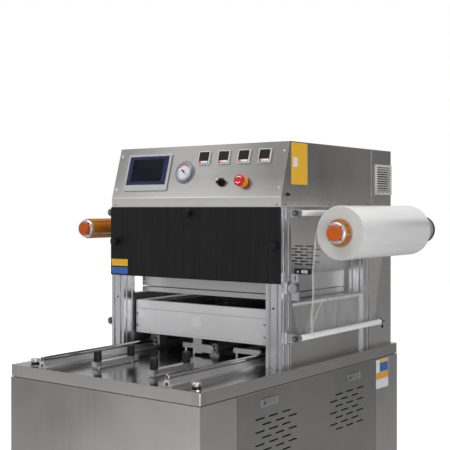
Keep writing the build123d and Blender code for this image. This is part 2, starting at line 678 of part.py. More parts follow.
# Bearing blocks under the carriage: open below, so that they pass the rail's web
BEARING_Y = ((572, 617), (880, 925))
BEARING_WIDTH = 45
BEARING_LOW = 12
BEARING_MOUTH = 28
MOUTH_TOP = 24
SEAL_RADIUS = 12
SEAL_DEPTH = 2
with BuildPart() as bearing_blocks:
    bearing_height = DRAWER_BOTTOM - BEARING_LOW
    for rail_x in (-RAIL_X, RAIL_X):
        for y in BEARING_Y:
            with BuildSketch(facing_front(y[0])):
                with Locations((rail_x, BEARING_LOW + bearing_height / 2)):
                    Rectangle(BEARING_WIDTH, bearing_height)
                with Locations((rail_x, (BEARING_LOW + MOUTH_TOP) / 2)):
                    Rectangle(BEARING_MOUTH, MOUTH_TOP - BEARING_LOW, mode=Mode.SUBTRACT)
                with Locations((rail_x, SHAFT_HEIGHT)):
                    Circle(SHAFT_RADIUS + RUNNING_FIT, mode=Mode.SUBTRACT)
            extrude(amount=y[0] - y[1])
            for end in ((y[0], y[0] + SEAL_DEPTH), (y[1] - SEAL_DEPTH, y[1])):
                round_bar(rail_x, SHAFT_HEIGHT, end, SEAL_RADIUS, Mode.SUBTRACT)
save(bearing_blocks, "bearing_blocks")

# Drive bracket: an angle under the carriage with an arm to the piston rod
BRACKET_X = (-43, -5)
BRACKET_Y = (522, 530)
BRACKET_LOW = 8
BRACKET_FOOT, FOOT_THICK = 572, 8
ARM_Z = (12, 40)
ARM_BOSS = 14
with BuildPart() as drive_bracket:
    block(BRACKET_X, BRACKET_Y, (BRACKET_LOW, DRAWER_BOTTOM))
    block(BRACKET_X, (BRACKET_Y[0], BRACKET_FOOT), (DRAWER_BOTTOM - FOOT_THICK, DRAWER_BOTTOM))
    block((BRACKET_X[1], DRIVE_X), BRACKET_Y, ARM_Z)
    round_bar(DRIVE_X, DRIVE_HEIGHT, BRACKET_Y, ARM_BOSS)
save(drive_bracket, "drive_bracket")

# Piston rod with its nut behind the bracket
ROD_END = 1180
ROD_NUT_RADIUS, ROD_NUT = 11, 7
with BuildPart() as piston_rod:
    round_bar(DRIVE_X, DRIVE_HEIGHT, (BRACKET_Y[1], ROD_END), PISTON_RADIUS)
    with BuildSketch(facing_front(BRACKET_Y[1])):
        with Locations((DRIVE_X, DRIVE_HEIGHT)):
            RegularPolygon(ROD_NUT_RADIUS, 6)
    extrude(amount=-ROD_NUT)
save(piston_rod, "piston_rod")

# Drive cylinder: a fixed tube with a gland in front, on two feet
TUBE_Y = (545, 1195)
TUBE_RADIUS, TUBE_BORE = 18, 14
GLAND, TUBE_END = 15, 10
TUBE_FEET = ((545, 557), (1050, 1062))
FOOT_HALF, FOOT_TOP = 20, 8.5
with BuildPart() as drive_cylinder:
    round_bar(DRIVE_X, DRIVE_HEIGHT, TUBE_Y, TUBE_RADIUS)
    round_bar(DRIVE_X, DRIVE_HEIGHT, (TUBE_Y[0] + GLAND, TUBE_Y[1] - TUBE_END), TUBE_BORE, Mode.SUBTRACT)
    gland = (TUBE_Y[0], TUBE_Y[0] + GLAND)
    round_bar(DRIVE_X, DRIVE_HEIGHT, gland, PISTON_RADIUS + RUNNING_FIT, Mode.SUBTRACT)
    for y in TUBE_FEET:
        block((DRIVE_X - FOOT_HALF, DRIVE_X + FOOT_HALF), y, (0, FOOT_TOP))
save(drive_cylinder, "drive_cylinder")

# Sealing head: a block over a narrower core that leaves the slit along its edge
CORE_INSET = 25
with BuildPart() as head_block:
    block((-DRAWER_HALF, DRAWER_HALF), (HEAD_FRONT, HEAD_BACK), (HEAD_SLIT_HIGH, HEAD_TOP))
    block(
        (-DRAWER_HALF + CORE_INSET, DRAWER_HALF - CORE_INSET),
        (HEAD_FRONT + CORE_INSET, HEAD_BACK - CORE_INSET),
        (HEAD_SLIT_LOW, HEAD_SLIT_HIGH),
    )
save(head_block, "head_block")

# Chamber plate: a plate with a shallow chamber over each tray
CHAMBER_GROW = 6
CHAMBER_TOP = 222
with BuildPart() as chamber_plate:
    block((-DRAWER_HALF, DRAWER_HALF), (HEAD_FRONT, HEAD_BACK), (HEAD_LOW, HEAD_SLIT_LOW))
    cavities((HEAD_LOW, CHAMBER_TOP), CHAMBER_GROW, Mode.SUBTRACT)
save(chamber_plate, "chamber_plate")

# Press rods: the piston rod in the middle and four guide rods
ROD_TOP = 430
GUIDE_TOP = 515
with BuildPart() as press_rods:
    upright(0, PRESS_Y, (HEAD_TOP, ROD_TOP), PRESS_ROD_RADIUS)
    for guide_x in (-GUIDE_X, GUIDE_X):
        for y in GUIDE_Y:
            upright(guide_x, y, (HEAD_TOP, GUIDE_TOP), GUIDE_RADIUS)
save(press_rods, "press_rods")

# Head guides: the press cylinder and four guide bushings under the housing
PRESS_CYLINDER, PRESS_BORE_TOP = 60, 500
BUSHING_LOW = 440
BUSHING_RADIUS = 20
with BuildPart() as head_guides:
    upright(0, PRESS_Y, (PRESS_LOW, HOUSING_BOTTOM), PRESS_CYLINDER)
    upright(0, PRESS_Y, (PRESS_LOW, PRESS_BORE_TOP), PRESS_ROD_RADIUS + RUNNING_FIT, Mode.SUBTRACT)
    for guide_x in (-GUIDE_X, GUIDE_X):
        for y in GUIDE_Y:
            bushing = (BUSHING_LOW, HOUSING_BOTTOM)
            upright(guide_x, y, bushing, BUSHING_RADIUS)
            upright(guide_x, y, bushing, GUIDE_RADIUS + RUNNING_FIT, Mode.SUBTRACT)
save(head_guides, "head_guides")

# Reels: a mandrel with key grooves, a metal collar and an end cap on each side
KEY_TURNS = (40, 160, 280)
KEY_DEPTH, KEY_WIDTH = 4, 7
COLLAR_Y = (492, MANDREL_START)
COLLAR_RADIUS, COLLAR_CHAMFER = 34.5, 3
CAP_Y = (479, 492)
END_CAP_RADIUS, END_CAP_ROUND = 25.5, 3
for side, name in ((1, "supply"), (-1, "takeup")):
    reel_x = side * REEL_X
    with BuildPart() as mandrel:
        round_bar(reel_x, REEL_HEIGHT, (MANDREL_START, MANDREL_END), MANDREL_RADIUS)
        for turn in KEY_TURNS:
            with BuildSketch(facing_front(MANDREL_START)):
                with Locations((reel_x, REEL_HEIGHT)):
                    with PolarLocations(MANDREL_RADIUS, 1, turn):
                        Rectangle(KEY_DEPTH, KEY_WIDTH)
            extrude(amount=MANDREL_START - MANDREL_END, mode=Mode.SUBTRACT)
    save(mandrel, f"{name}_mandrel")
    with BuildPart() as collar:
        round_bar(reel_x, REEL_HEIGHT, COLLAR_Y, COLLAR_RADIUS)
        chamfer(collar.edges().filter_by(GeomType.CIRCLE).sort_by(Axis.Y)[0], COLLAR_CHAMFER)
    save(collar, f"{name}_collar")
    with BuildPart() as end_cap:
        round_bar(reel_x, REEL_HEIGHT, CAP_Y, END_CAP_RADIUS)
        fillet(end_cap.edges().filter_by(GeomType.CIRCLE).sort_by(Axis.Y)[0], END_CAP_ROUND)
    save(end_cap, f"{name}_cap")

# Reel arms: a hub with a flange behind each mandrel, on a plate from the column
HUB_Y = (MANDREL_END + 1, 1118)
HUB_RADIUS = 46
FLANGE_Y = (1118, 1130)
FLANGE_RADIUS = 49
ARM_Y = (1130, 1150)
ARM_HALF = 40
with BuildPart() as reel_arms:
    for reel_x, column_x in ((-REEL_X, -POST_OUTER), (REEL_X, POST_OUTER)):
        round_bar(reel_x, REEL_HEIGHT, HUB_Y, HUB_RADIUS)
        round_bar(reel_x, REEL_HEIGHT, FLANGE_Y, FLANGE_RADIUS)
        round_bar(reel_x, REEL_HEIGHT, ARM_Y, ARM_HALF)
        block(sorted((column_x, reel_x)), ARM_Y, (REEL_HEIGHT - ARM_HALF, REEL_HEIGHT + ARM_HALF))
save(reel_arms, "reel_arms")

# Film core and the film wound on it
with BuildPart() as film_core:
    round_bar(REEL_X, REEL_HEIGHT, (ROLL_START, ROLL_END), CORE_RADIUS)
    round_bar(REEL_X, REEL_HEIGHT, (ROLL_START, ROLL_END), MANDREL_RADIUS, Mode.SUBTRACT)
save(film_core, "film_core")

with BuildPart() as film_roll:
    round_bar(REEL_X, REEL_HEIGHT, (ROLL_START, ROLL_END), ROLL_RADIUS)
    fillet(film_roll.edges().filter_by(GeomType.CIRCLE), ROLL_EDGE)
    round_bar(REEL_X, REEL_HEIGHT, (ROLL_START, ROLL_END), CORE_RADIUS, Mode.SUBTRACT)
save(film_roll, "film_roll")

# Roller brackets on the posts and the column, with the fixed axles between them
PLATE_THICK = 8
PLATE_HALF = 18.5
ARM_END = 14.5
BRACKET_PLATES = ((481, 511), (1070, 1100))
BRACKET_ARMS = ((485, 502), (1070, 1087))
AXLE_Y = (476, 1092)
with BuildPart() as roller_brackets:
    for side in (-1, 1):
        plate_x = side * (POST_OUTER + PLATE_THICK)
        for z in ROLLER_HEIGHTS:
            for plate_y, arm_y in zip(BRACKET_PLATES, BRACKET_ARMS):
                block(sorted((side * POST_OUTER, plate_x)), plate_y, (z - PLATE_HALF, z + PLATE_HALF))
                block(sorted((plate_x, side * ROLLER_X)), arm_y, (z - ARM_END, z + ARM_END))
                round_bar(side * ROLLER_X, z, arm_y, ARM_END)
            round_bar(side * ROLLER_X, z, AXLE_Y, ROLLER_AXLE)
save(roller_brackets, "roller_brackets")

# Sensor bracket on the right front post: a plate, an arm with a clamping knob, and a
# slotted upright that carries the film sensor
SENSOR_HEIGHT = 262
SENSOR_ARM_HALF = 12
UPRIGHT_X, UPRIGHT_Y = (390, 418), (495, 502)
UPRIGHT_Z = (220, 308)
ADJUSTER_X = sum(UPRIGHT_X) / 2
ADJUSTER_SLOT_Z, ADJUSTER_SLOT = 294, (16, 6)
CLAMP_NECK, CLAMP_HEAD = 8, 16
CLAMP_Y = (476, 484)
with BuildPart() as sensor_bracket:
    plate_x = POST_OUTER + PLATE_THICK
    plate_z = (SENSOR_HEIGHT - PLATE_HALF, SENSOR_HEIGHT + PLATE_HALF)
    arm_z = (SENSOR_HEIGHT - SENSOR_ARM_HALF, SENSOR_HEIGHT + SENSOR_ARM_HALF)
    block((POST_OUTER, plate_x), BRACKET_PLATES[0], plate_z)
    block((plate_x, UPRIGHT_X[0]), UPRIGHT_Y, arm_z)
    block(UPRIGHT_X, UPRIGHT_Y, UPRIGHT_Z)
    with BuildSketch(facing_front(UPRIGHT_Y[0])):
        with Locations(Location((ADJUSTER_X, ADJUSTER_SLOT_Z, 0), (0, 0, 90))):
            SlotOverall(*ADJUSTER_SLOT)
    extrude(amount=UPRIGHT_Y[0] - UPRIGHT_Y[1], mode=Mode.SUBTRACT)
    round_bar(ADJUSTER_X, SENSOR_HEIGHT, (CLAMP_Y[1], UPRIGHT_Y[0]), CLAMP_NECK)
    round_bar(ADJUSTER_X, SENSOR_HEIGHT, CLAMP_Y, CLAMP_HEAD)
save(sensor_bracket, "sensor_bracket")

# Film sensor: a small moulded case that lies across the top of the upright
SENSOR_X, SENSOR_Y = (405, 462), (487, 502)
SENSOR_TALL = 18
SENSOR_ROUND = 2
with BuildPart() as film_sensor:
    block(SENSOR_X, SENSOR_Y, (UPRIGHT_Z[1], UPRIGHT_Z[1] + SENSOR_TALL))
    fillet(film_sensor.edges().filter_by(Axis.Y), SENSOR_ROUND)
save(film_sensor, "film_sensor")

# Idle rollers that turn on the axles
roller_y = (ROLLER_START, ROLLER_END)
for side, side_name in ((1, "right"), (-1, "left")):
    for level_name, z in zip(("lower", "upper"), ROLLER_HEIGHTS):
        with BuildPart() as roller:
            round_bar(side * ROLLER_X, z, roller_y, ROLLER_RADIUS)
            round_bar(side * ROLLER_X, z, roller_y, ROLLER_AXLE + RUNNING_FIT, Mode.SUBTRACT)
        save(roller, f"roller_{level_name}_{side_name}")


def round_point(x, z, radius, angle):
    """The point of a circle round (x, z) at an angle, seen from the front."""
    return (x + radius * math.cos(angle), z + radius * math.sin(angle))


# Film web: from the roll down round the lower roller, up to the side panel's top edge and
# inwards over it to the drawer
WEB = 1
WEB_CLEAR = 0.6
WEB_INSET = 5
WEB_REST = (PANEL_OUTER + 6, PANEL_TOP + 4)
WEB_END = (DRAWER_HALF + 7, PANEL_TOP + 4)
roller_z = ROLLER_HEIGHTS[0]
roller_wrap = ROLLER_RADIUS + WEB_CLEAR + WEB / 2
roll_wrap = ROLL_RADIUS + WEB_CLEAR + WEB / 2
drop_x, drop_z = REEL_X - ROLLER_X, REEL_HEIGHT - roller_z
cross = math.acos((roll_wrap + roller_wrap) / math.hypot(drop_x, drop_z))
roll_angle = math.atan2(drop_z, drop_x) + math.pi - cross
rise_x, rise_z = WEB_REST[0] - ROLLER_X, WEB_REST[1] - roller_z
leave_angle = math.atan2(rise_z, rise_x) + math.acos(roller_wrap / math.hypot(rise_x, rise_z))
under_angle = (roll_angle + leave_angle - 3 * math.pi) / 2
off_roll = round_point(REEL_X, REEL_HEIGHT, roll_wrap, roll_angle)
on_roller = round_point(ROLLER_X, roller_z, roller_wrap, roll_angle + math.pi)
under_roller = round_point(ROLLER_X, roller_z, roller_wrap, under_angle)
off_roller = round_point(ROLLER_X, roller_z, roller_wrap, leave_angle)
with BuildPart() as film_web:
    with BuildSketch(facing_front(ROLL_START + WEB_INSET)):
        with BuildLine() as web_line:
            Line(off_roll, on_roller)
            ThreePointArc(on_roller, under_roller, off_roller)
            Line(off_roller, WEB_REST)
            Line(WEB_REST, WEB_END)
        trace(web_line.wires()[0], line_width=WEB)
    extrude(amount=ROLL_START - ROLL_END + 2 * WEB_INSET)
save(film_web, "film_web")
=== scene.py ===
import math

import bmesh
import bpy
from mathutils import Matrix, Vector


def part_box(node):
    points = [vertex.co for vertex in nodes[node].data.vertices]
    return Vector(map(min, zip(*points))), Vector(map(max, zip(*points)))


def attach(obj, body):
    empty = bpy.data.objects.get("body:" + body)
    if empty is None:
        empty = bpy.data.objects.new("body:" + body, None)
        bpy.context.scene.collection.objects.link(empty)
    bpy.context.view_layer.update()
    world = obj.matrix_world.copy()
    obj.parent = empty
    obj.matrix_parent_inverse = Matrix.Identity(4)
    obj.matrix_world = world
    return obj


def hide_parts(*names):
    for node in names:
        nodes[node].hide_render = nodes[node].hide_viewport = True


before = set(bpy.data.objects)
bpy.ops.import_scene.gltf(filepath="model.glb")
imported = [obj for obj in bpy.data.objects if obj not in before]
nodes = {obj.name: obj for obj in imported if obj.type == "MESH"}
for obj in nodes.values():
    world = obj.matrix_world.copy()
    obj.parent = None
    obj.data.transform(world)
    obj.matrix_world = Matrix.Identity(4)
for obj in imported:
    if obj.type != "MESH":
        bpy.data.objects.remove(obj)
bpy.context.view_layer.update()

# Camera: at eye height before the machine's front right corner, held level, with its picture
# shifted down a little so that the table fills the lower half.
bpy.ops.object.camera_add(
    location=(2.0125, -2.6601, 1.3219), rotation=(math.radians(90), 0, math.radians(36.956))
)
camera = bpy.context.object
camera.data.lens = 74.2456
camera.data.sensor_width = 36
camera.data.shift_y = -0.03796
bpy.context.scene.camera = camera
bpy.context.scene.view_settings.view_transform = "Standard"


# Floor: one matt pale sheet under the machine. It looks white itself, and is greyer towards the
# back right, where the machine's side sheets mirror it.
class Value:
    """A socket in a finish's nodes. Arithmetic on it adds Math nodes."""

    def __init__(self, tree, socket=None):
        self.tree = tree
        self.socket = socket

    def node(self, kind, settings=None, inputs=None, output=0):
        """Adds any other node: its settings first, then the values or links of its sockets."""
        made = self.tree.nodes.new(kind)
        for name, value in (settings or {}).items():
            if name == "stops":
                ramp = made.color_ramp
                while len(ramp.elements) < len(value):
                    ramp.elements.new(0.5)
                for element, (place, tone) in zip(ramp.elements, value):
                    element.position = place
                    element.color = tone if hasattr(tone, "__len__") else (tone, tone, tone, 1)
            else:
                setattr(made, name, value)
        for key, value in (inputs or {}).items():
            if isinstance(value, Value):
                self.tree.links.new(value.socket, made.inputs[key])
            else:
                made.inputs[key].default_value = value
        return Value(self.tree, made.outputs[output])

    def maths(self, operation, *values):
        return self.node("ShaderNodeMath", {"operation": operation}, dict(enumerate(values)))

    def __add__(self, other):
        return self.maths("ADD", self, other)

    def __sub__(self, other):
        return self.maths("SUBTRACT", self, other)

    def __rsub__(self, other):
        return self.maths("SUBTRACT", other, self)

    def __abs__(self):
        return self.maths("ABSOLUTE", self)

    def __mul__(self, other):
        return self.maths("MULTIPLY", self, other)

    def __truediv__(self, other):
        return self.maths("DIVIDE", self, other)

    def __gt__(self, other):
        return self.maths("GREATER_THAN", self, other)

    def __lt__(self, other):
        return self.maths("LESS_THAN", self, other)

    __radd__ = __add__
    __rmul__ = __mul__


def new_finish(name, even):
    """A material whose even values are set on the shader's own sockets."""
    made = bpy.data.materials.new(name)
    made.use_nodes = True
    for key, value in even.items():
        made.node_tree.nodes["Principled BSDF"].inputs[key].default_value = value
    return made, Value(made.node_tree)


def feed(finish, key, value):
    """Links a value that changes over the surface to one of the shader's sockets."""
    finish.node_tree.links.new(value.socket, finish.node_tree.nodes["Principled BSDF"].inputs[key])


def axes(start):
    """The place on the piece: its x, y and z in metres."""
    place = start.node("ShaderNodeTexCoord", output="Object")
    return [start.node("ShaderNodeSeparateXYZ", inputs={0: place}, output=axis) for axis in "XYZ"]


FLOOR_TONES = [(0.0, 0.92), (0.45, 0.92), (0.75, 0.5), (1.0, 0.5)]
bpy.ops.mesh.primitive_plane_add(size=30, location=(0, 0, 0))
floor = bpy.context.object
floor.name = "floor"
floor_paint, start = new_finish("floor_paint", {"Roughness": 0.9, "Emission Strength": 0.75})
x, y, z = axes(start)
floor_tone = start.node("ShaderNodeValToRGB", {"stops": FLOOR_TONES}, {0: (x + y) * 0.25 + 0.5})
feed(floor_paint, "Base Color", floor_tone)
feed(floor_paint, "Emission Color", start.node("ShaderNodeLightPath", output="Is Camera Ray"))
floor.data.materials.append(floor_paint)


# Soft boxes: two large ones hang in front and above, a small one on the left shines in the
# slanted panel, and one low on the right reaches into the machine's open side.
def soft_box(name, place, aim, width, height, watts):
    """A large area lamp that points at a spot on the machine."""
    data = bpy.data.lights.new(name, "AREA")
    data.shape = "RECTANGLE"
    data.size, data.size_y = width, height
    data.energy = watts
    lamp = bpy.data.objects.new(name, data)
    lamp.location = place
    lamp.rotation_euler = (Vector(aim) - Vector(place)).to_track_quat("-Z", "Y").to_euler()
    bpy.context.scene.collection.objects.link(lamp)


soft_box("key_box", (-0.4, -2.1, 4.9), (0, 0, 1), 2.4, 1.8, 66)
soft_box("top_box", (0.2, 0.2, 4.2), (0, 0, 1), 5.0, 5.0, 86)
soft_box("panel_box", (-2.45, -2.65, 3.05), (0, -0.15, 1.4), 0.8, 1.3, 2.6)
soft_box("side_box", (3.0, -1.6, 0.88), (0.3, 0.2, 1.1), 2.4, 1.0, 53)

# Room: white to look at, as paper would be. The light that it gives is brighter on the left and
# darker on the right, where the machine's side sheets mirror it.
ROOM_TONES = [(0.0, 0.62), (0.5, 0.56), (0.72, (0.26, 0.255, 0.25, 1))]
room = bpy.data.worlds.new("room")
room.use_nodes = True
bpy.context.scene.world = room
wall = room.node_tree.nodes["Background"]
wall.inputs["Strength"].default_value = 1.0
start = Value(room.node_tree)
direction = start.node("ShaderNodeTexCoord", output="Generated")
across = start.node("ShaderNodeSeparateXYZ", inputs={0: direction}, output="X")
glow = start.node("ShaderNodeValToRGB", {"stops": ROOM_TONES}, {0: across * 0.5 + 0.5})
seen = start.node("ShaderNodeLightPath", output="Is Camera Ray")
white_wall = start.node(
    "ShaderNodeMix", {"data_type": "RGBA"}, {"Factor": seen, "A": glow, "B": (1, 1, 1, 1)}, output="Result"
)
room.node_tree.links.new(white_wall.socket, wall.inputs["Color"])


# Levelling feet: zinc-plated steel pads on threaded studs, one under each corner, which are
# turned until the machine stands level and locked with a nut.
def grain(start, stretch, detail=3.0, rough=0.6):
    """Noise drawn out by different amounts along X, Y and Z, per metre."""
    place = start.node("ShaderNodeTexCoord", output="Object")
    drawn = place.node("ShaderNodeMapping", inputs={"Vector": place, "Scale": stretch})
    return drawn.node(
        "ShaderNodeTexNoise", inputs={"Vector": drawn, "Scale": 1.0, "Detail": detail, "Roughness": rough}
    )


def tones(start, factor, dark, light):
    """A colour between two, by a factor. Either may be a colour that varies itself."""
    dark = dark if isinstance(dark, Value) else (*dark, 1)
    light = light if isinstance(light, Value) else (*light, 1)
    mixed = {"Factor": factor, "A": dark, "B": light}
    return start.node("ShaderNodeMix", {"data_type": "RGBA"}, mixed, output="Result")


def bump(start, height, strength, depth):
    """A normal from a height."""
    return start.node("ShaderNodeBump", inputs={"Height": height, "Strength": strength, "Distance": depth})


def painted_edge_highlight(start, radius):
    """Edges and folds within a radius, where the metal is painted brighter as a highlight."""
    rounded = start.node("ShaderNodeBevel", inputs={"Radius": radius})
    flat = start.node("ShaderNodeNewGeometry", output="Normal")
    both = {0: rounded, 1: flat}
    return 1 - start.node("ShaderNodeVectorMath", {"operation": "DOT_PRODUCT"}, both, output="Value")


def metal(
    name,
    dark,
    light,
    lines,
    rough,
    depth=0.00002,
    clouds=3.0,
    metallic=1.0,
    painted_light_drift=None,
    edge_highlight_radius=0.0,
    streaks=0.2,
    patch=None,
    paler=None,
):
    """A metal with hair lines along the axis where lines is small, cloudy patches, a painted drift of
    light and shade over the piece, painted highlights on its edges, and duller or paler parts where
    a test says so."""
    made, start = new_finish(name, {"Metallic": metallic})
    hair = grain(start, lines, 4.0, 0.7)
    broad = grain(start, tuple(v / 14 for v in lines), 2.0)
    cloud = grain(start, (clouds, clouds, clouds), 3.0)
    mixed = ((hair + broad) * streaks + cloud * (1 - 2 * streaks)) * 1.8 - 0.4
    gloss = rough + (hair - 0.5) * 0.12 + (cloud - 0.5) * 0.1
    # Painted light: a drift of tone over the piece, lighter where light falls and darker in shade.
    if painted_light_drift:
        mixed = mixed + painted_light_drift(start)
    # Painted highlight: edges and folds within the radius get a brighter tone.
    if edge_highlight_radius:
        mixed = mixed + painted_edge_highlight(start, edge_highlight_radius) * 4
    if patch:
        dull = patch(start)
        mixed = mixed - dull * 0.45
        gloss = gloss + dull * 0.16
    tone = tones(start, mixed, dark, light)
    if paler:
        tone = tones(start, paler(start), tone, (0.84, 0.83, 0.825))
    feed(made, "Base Color", tone)
    feed(made, "Roughness", gloss)
    feed(made, "Normal", bump(start, hair, 0.35, depth))
    return made


def dress(finish, *names):
    """Gives the finish to whole nodes of the frame."""
    for name in names:
        for holder in nodes[name].material_slots:
            holder.material = finish


zinc = metal("zinc_plate", (0.5, 0.5, 0.51), (0.66, 0.66, 0.67), (90, 90, 90), 0.34)
dress(zinc, "levelling_feet")


# Cabinet: two brushed stainless sheets folded round the corners, joined by a flange at the top,
# with upright hair lines, faint clouds from handling, painted highlights along its folds, and
# painted light that makes it paler from left to right.
def painted_light_rightward(start):
    """Painted light: the cabinet's front is painted a little paler from left to right."""
    return axes(start)[0] * 0.85


SHEET_EDGE = 0.0016
UPRIGHT_LINES = (900, 900, 9)
LEVEL_LINES = (9, 9, 900)
cabinet_sheet = metal(
    "cabinet_sheet",
    (0.25, 0.246, 0.243),
    (0.48, 0.472, 0.468),
    UPRIGHT_LINES,
    0.3,
    clouds=1.6,
    painted_light_drift=painted_light_rightward,
    edge_highlight_radius=SHEET_EDGE,
    streaks=0.08,
)
dress(cabinet_sheet, "cabinet_shell")

# Side doors: a flat removable panel of the same brushed sheet, a little darker, on each side
# between the folded ones, with two groups of punched vent slots.
# The doors' edges get a painted highlight.
door_sheet = metal(
    "door_sheet",
    (0.22, 0.217, 0.213),
    (0.38, 0.375, 0.37),
    UPRIGHT_LINES,
    0.3,
    clouds=1.6,
    edge_highlight_radius=SHEET_EDGE,
    streaks=0.08,
)
dress(door_sheet, "side_doors")

# Door latches: flat frames pressed from zinc-plated steel, two on each door, with a raised rim
# round a recessed paddle and a small round lock at the front end.
table_low, table_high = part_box("table_top")


def spot(x, y, z):
    """A place in millimetres: right of the middle, behind the table's front edge, above its top."""
    return Vector(
        ((table_low[0] + table_high[0]) / 2 + x / 1000, table_low[1] + y / 1000, table_high[2] + z / 1000)
    )


def begin(add, **settings):
    """Adds a start shape with nothing else selected, and opens its mesh."""
    bpy.ops.object.select_all(action="DESELECT")
    add(**settings)
    bpy.ops.object.mode_set(mode="EDIT")
    bpy.ops.mesh.select_all(action="SELECT")


def pick(test, kind="faces"):
    """Selects the faces or edges of the open mesh that pass a test."""
    shape = bmesh.from_edit_mesh(bpy.context.object.data)
    bpy.ops.mesh.select_mode(type="FACE" if kind == "faces" else "EDGE")
    bpy.ops.mesh.select_all(action="DESELECT")
    for part in getattr(shape, kind):
        part.select_set(bool(test(part)))
    shape.select_flush_mode()
    bmesh.update_edit_mesh(bpy.context.object.data)


def top(face):
    """True for a face that looks straight out of a fitting."""
    return face.normal.z > 0.99


def push(distance):
    """Extrudes the selected faces along their own direction."""
    bpy.ops.mesh.extrude_region_shrink_fatten(TRANSFORM_OT_shrink_fatten={"value": distance})


def end():
    """Closes the open mesh and hands it over, to be set out wherever it is wanted."""
    bpy.ops.mesh.select_all(action="SELECT")
    bpy.ops.mesh.normals_make_consistent(inside=False)
    bpy.ops.object.mode_set(mode="OBJECT")
    shape = bpy.context.object.data
    bpy.data.objects.remove(bpy.context.object)
    return shape


def block(width, depth, height):
    """Opens the mesh of a block that stands on the origin."""
    begin(bpy.ops.mesh.primitive_cube_add, size=1)
    bpy.ops.transform.resize(value=(width, depth, height))
    bpy.ops.transform.translate(value=(0, 0, height / 2))


def disc(radius, height, sides=48):
    """A flat round plate with a fine edge, its back on the origin."""
    begin(bpy.ops.mesh.primitive_cylinder_add, vertices=sides, radius=radius, depth=height)
    bpy.ops.transform.translate(value=(0, 0, height / 2))
    pick(top)
    bpy.ops.mesh.bevel(offset=min(height, radius) / 4, segments=1, affect="EDGES")
    return end()


def turned(across, upward, out):
    """Turns a fitting's own x, y and z to the given directions."""
    return Matrix((across, upward, out)).transposed().to_4x4()


RIGHTWARD = turned((0, 1, 0), (0, 0, 1), (1, 0, 0))
LEFTWARD = turned((0, -1, 0), (0, 0, 1), (-1, 0, 0))
SIDES = ((1, "right", RIGHTWARD), (-1, "left", LEFTWARD))


def put(place, turn, size=1.0, roll=0.0):
    """Where a copy of a fitting goes: its place, its direction, its size, and its own turn."""
    own_turn = Matrix.Rotation(math.radians(roll), 4, "Z")
    return Matrix.Translation(place) @ turn @ own_turn @ Matrix.Scale(size, 4)


def take_finish(piece, name, finish, body, angle=30):
    """Names a shaped piece, puts its place into its mesh, and gives it its body and finish."""
    bpy.ops.object.select_all(action="DESELECT")
    piece.select_set(True)
    bpy.context.view_layer.objects.active = piece
    bpy.ops.object.transform_apply(location=True, rotation=True, scale=True)
    bpy.ops.object.shade_smooth_by_angle(angle=math.radians(angle))
    piece.name = name
    piece.data.materials.clear()
    piece.data.materials.append(finish)
    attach(piece, body)


def set_out(shape, name, places, finish, body="machine"):
    """Copies a shape to each place and joins the copies into one piece."""
    copies = []
    for matrix in places:
        copy = bpy.data.objects.new(name, shape.copy())
        copy.data.transform(matrix)
        bpy.context.scene.collection.objects.link(copy)
        copies.append(copy)
    bpy.ops.object.select_all(action="DESELECT")
    for copy in copies:
        copy.select_set(True)
    bpy.context.view_layer.objects.active = copies[0]
    if len(copies) > 1:
        bpy.ops.object.join()
    take_finish(copies[0], name, finish, body)


DOOR_FACE = 405.8
# The latches' edges get a painted highlight.
latch_steel = metal("latch_steel", (0.3, 0.3, 0.31), (0.46, 0.46, 0.47), (90, 90, 90), 0.34, edge_highlight_radius=0.002)
dark_screw = metal("dark_screw", (0.05, 0.05, 0.05), (0.12, 0.12, 0.12), (900, 900, 900), 0.35)
dress(latch_steel, "door_latches")
block(0.086, 0.0255, 0.0012)
pick(top)
bpy.ops.mesh.inset(thickness=0.0028)
push(-0.0009)
bpy.ops.mesh.inset(thickness=0.0042)
push(0.0007)
rim_places = []
lock_places = []
for side, word, turn in SIDES:
    for y in (347.8, 882):
        latch_place = put(spot(side * DOOR_FACE, y, -81), turn)
        rim_places.append(latch_place)
        lock_places.append(latch_place @ Matrix.Translation((-0.031 * side, 0, 0.0009)))
set_out(end(), "latch_rims", rim_places, latch_steel)
set_out(disc(0.0042, 0.0022, 20), "latch_locks", lock_places, dark_screw)


# Cabinet plate: a thin printed foil, stuck on at the rear of the right side. It is white, with a
# blue and a yellow field at its top and an orange band below them.
def moulded(name, dark, light, rough, shine=0.5):
    """A moulded plastic, a rubber or a foil with fine pores and faint patches."""
    made, start = new_finish(name, {"Specular IOR Level": shine})
    fine = grain(start, (900, 900, 900), 3.0)
    patch = grain(start, (14, 14, 14), 3.0)
    feed(made, "Base Color", tones(start, patch * 0.7 + fine * 0.3, dark, light))
    feed(made, "Roughness", rough + (patch - 0.5) * 0.12)
    feed(made, "Normal", bump(start, fine, 0.25, 0.00006))
    return made


def plate(width, height, thick, corner, edge=0.0002):
    """A thin flat plate with round corners and a fine edge, its back on the origin."""
    block(width, height, thick)
    pick(lambda e: abs(e.verts[0].co.z - e.verts[1].co.z) > thick / 2, "edges")
    bpy.ops.mesh.bevel(offset=corner, segments=4, affect="EDGES")
    pick(top)
    bpy.ops.mesh.bevel(offset=min(edge, thick / 2), segments=1, affect="EDGES")
    return end()


def foil(name, width, height, place, turn, finish):
    """One printed foil, stuck on at a place in millimetres."""
    set_out(plate(width, height, 0.0003, 0.002), name, [put(spot(*place), turn)], finish)


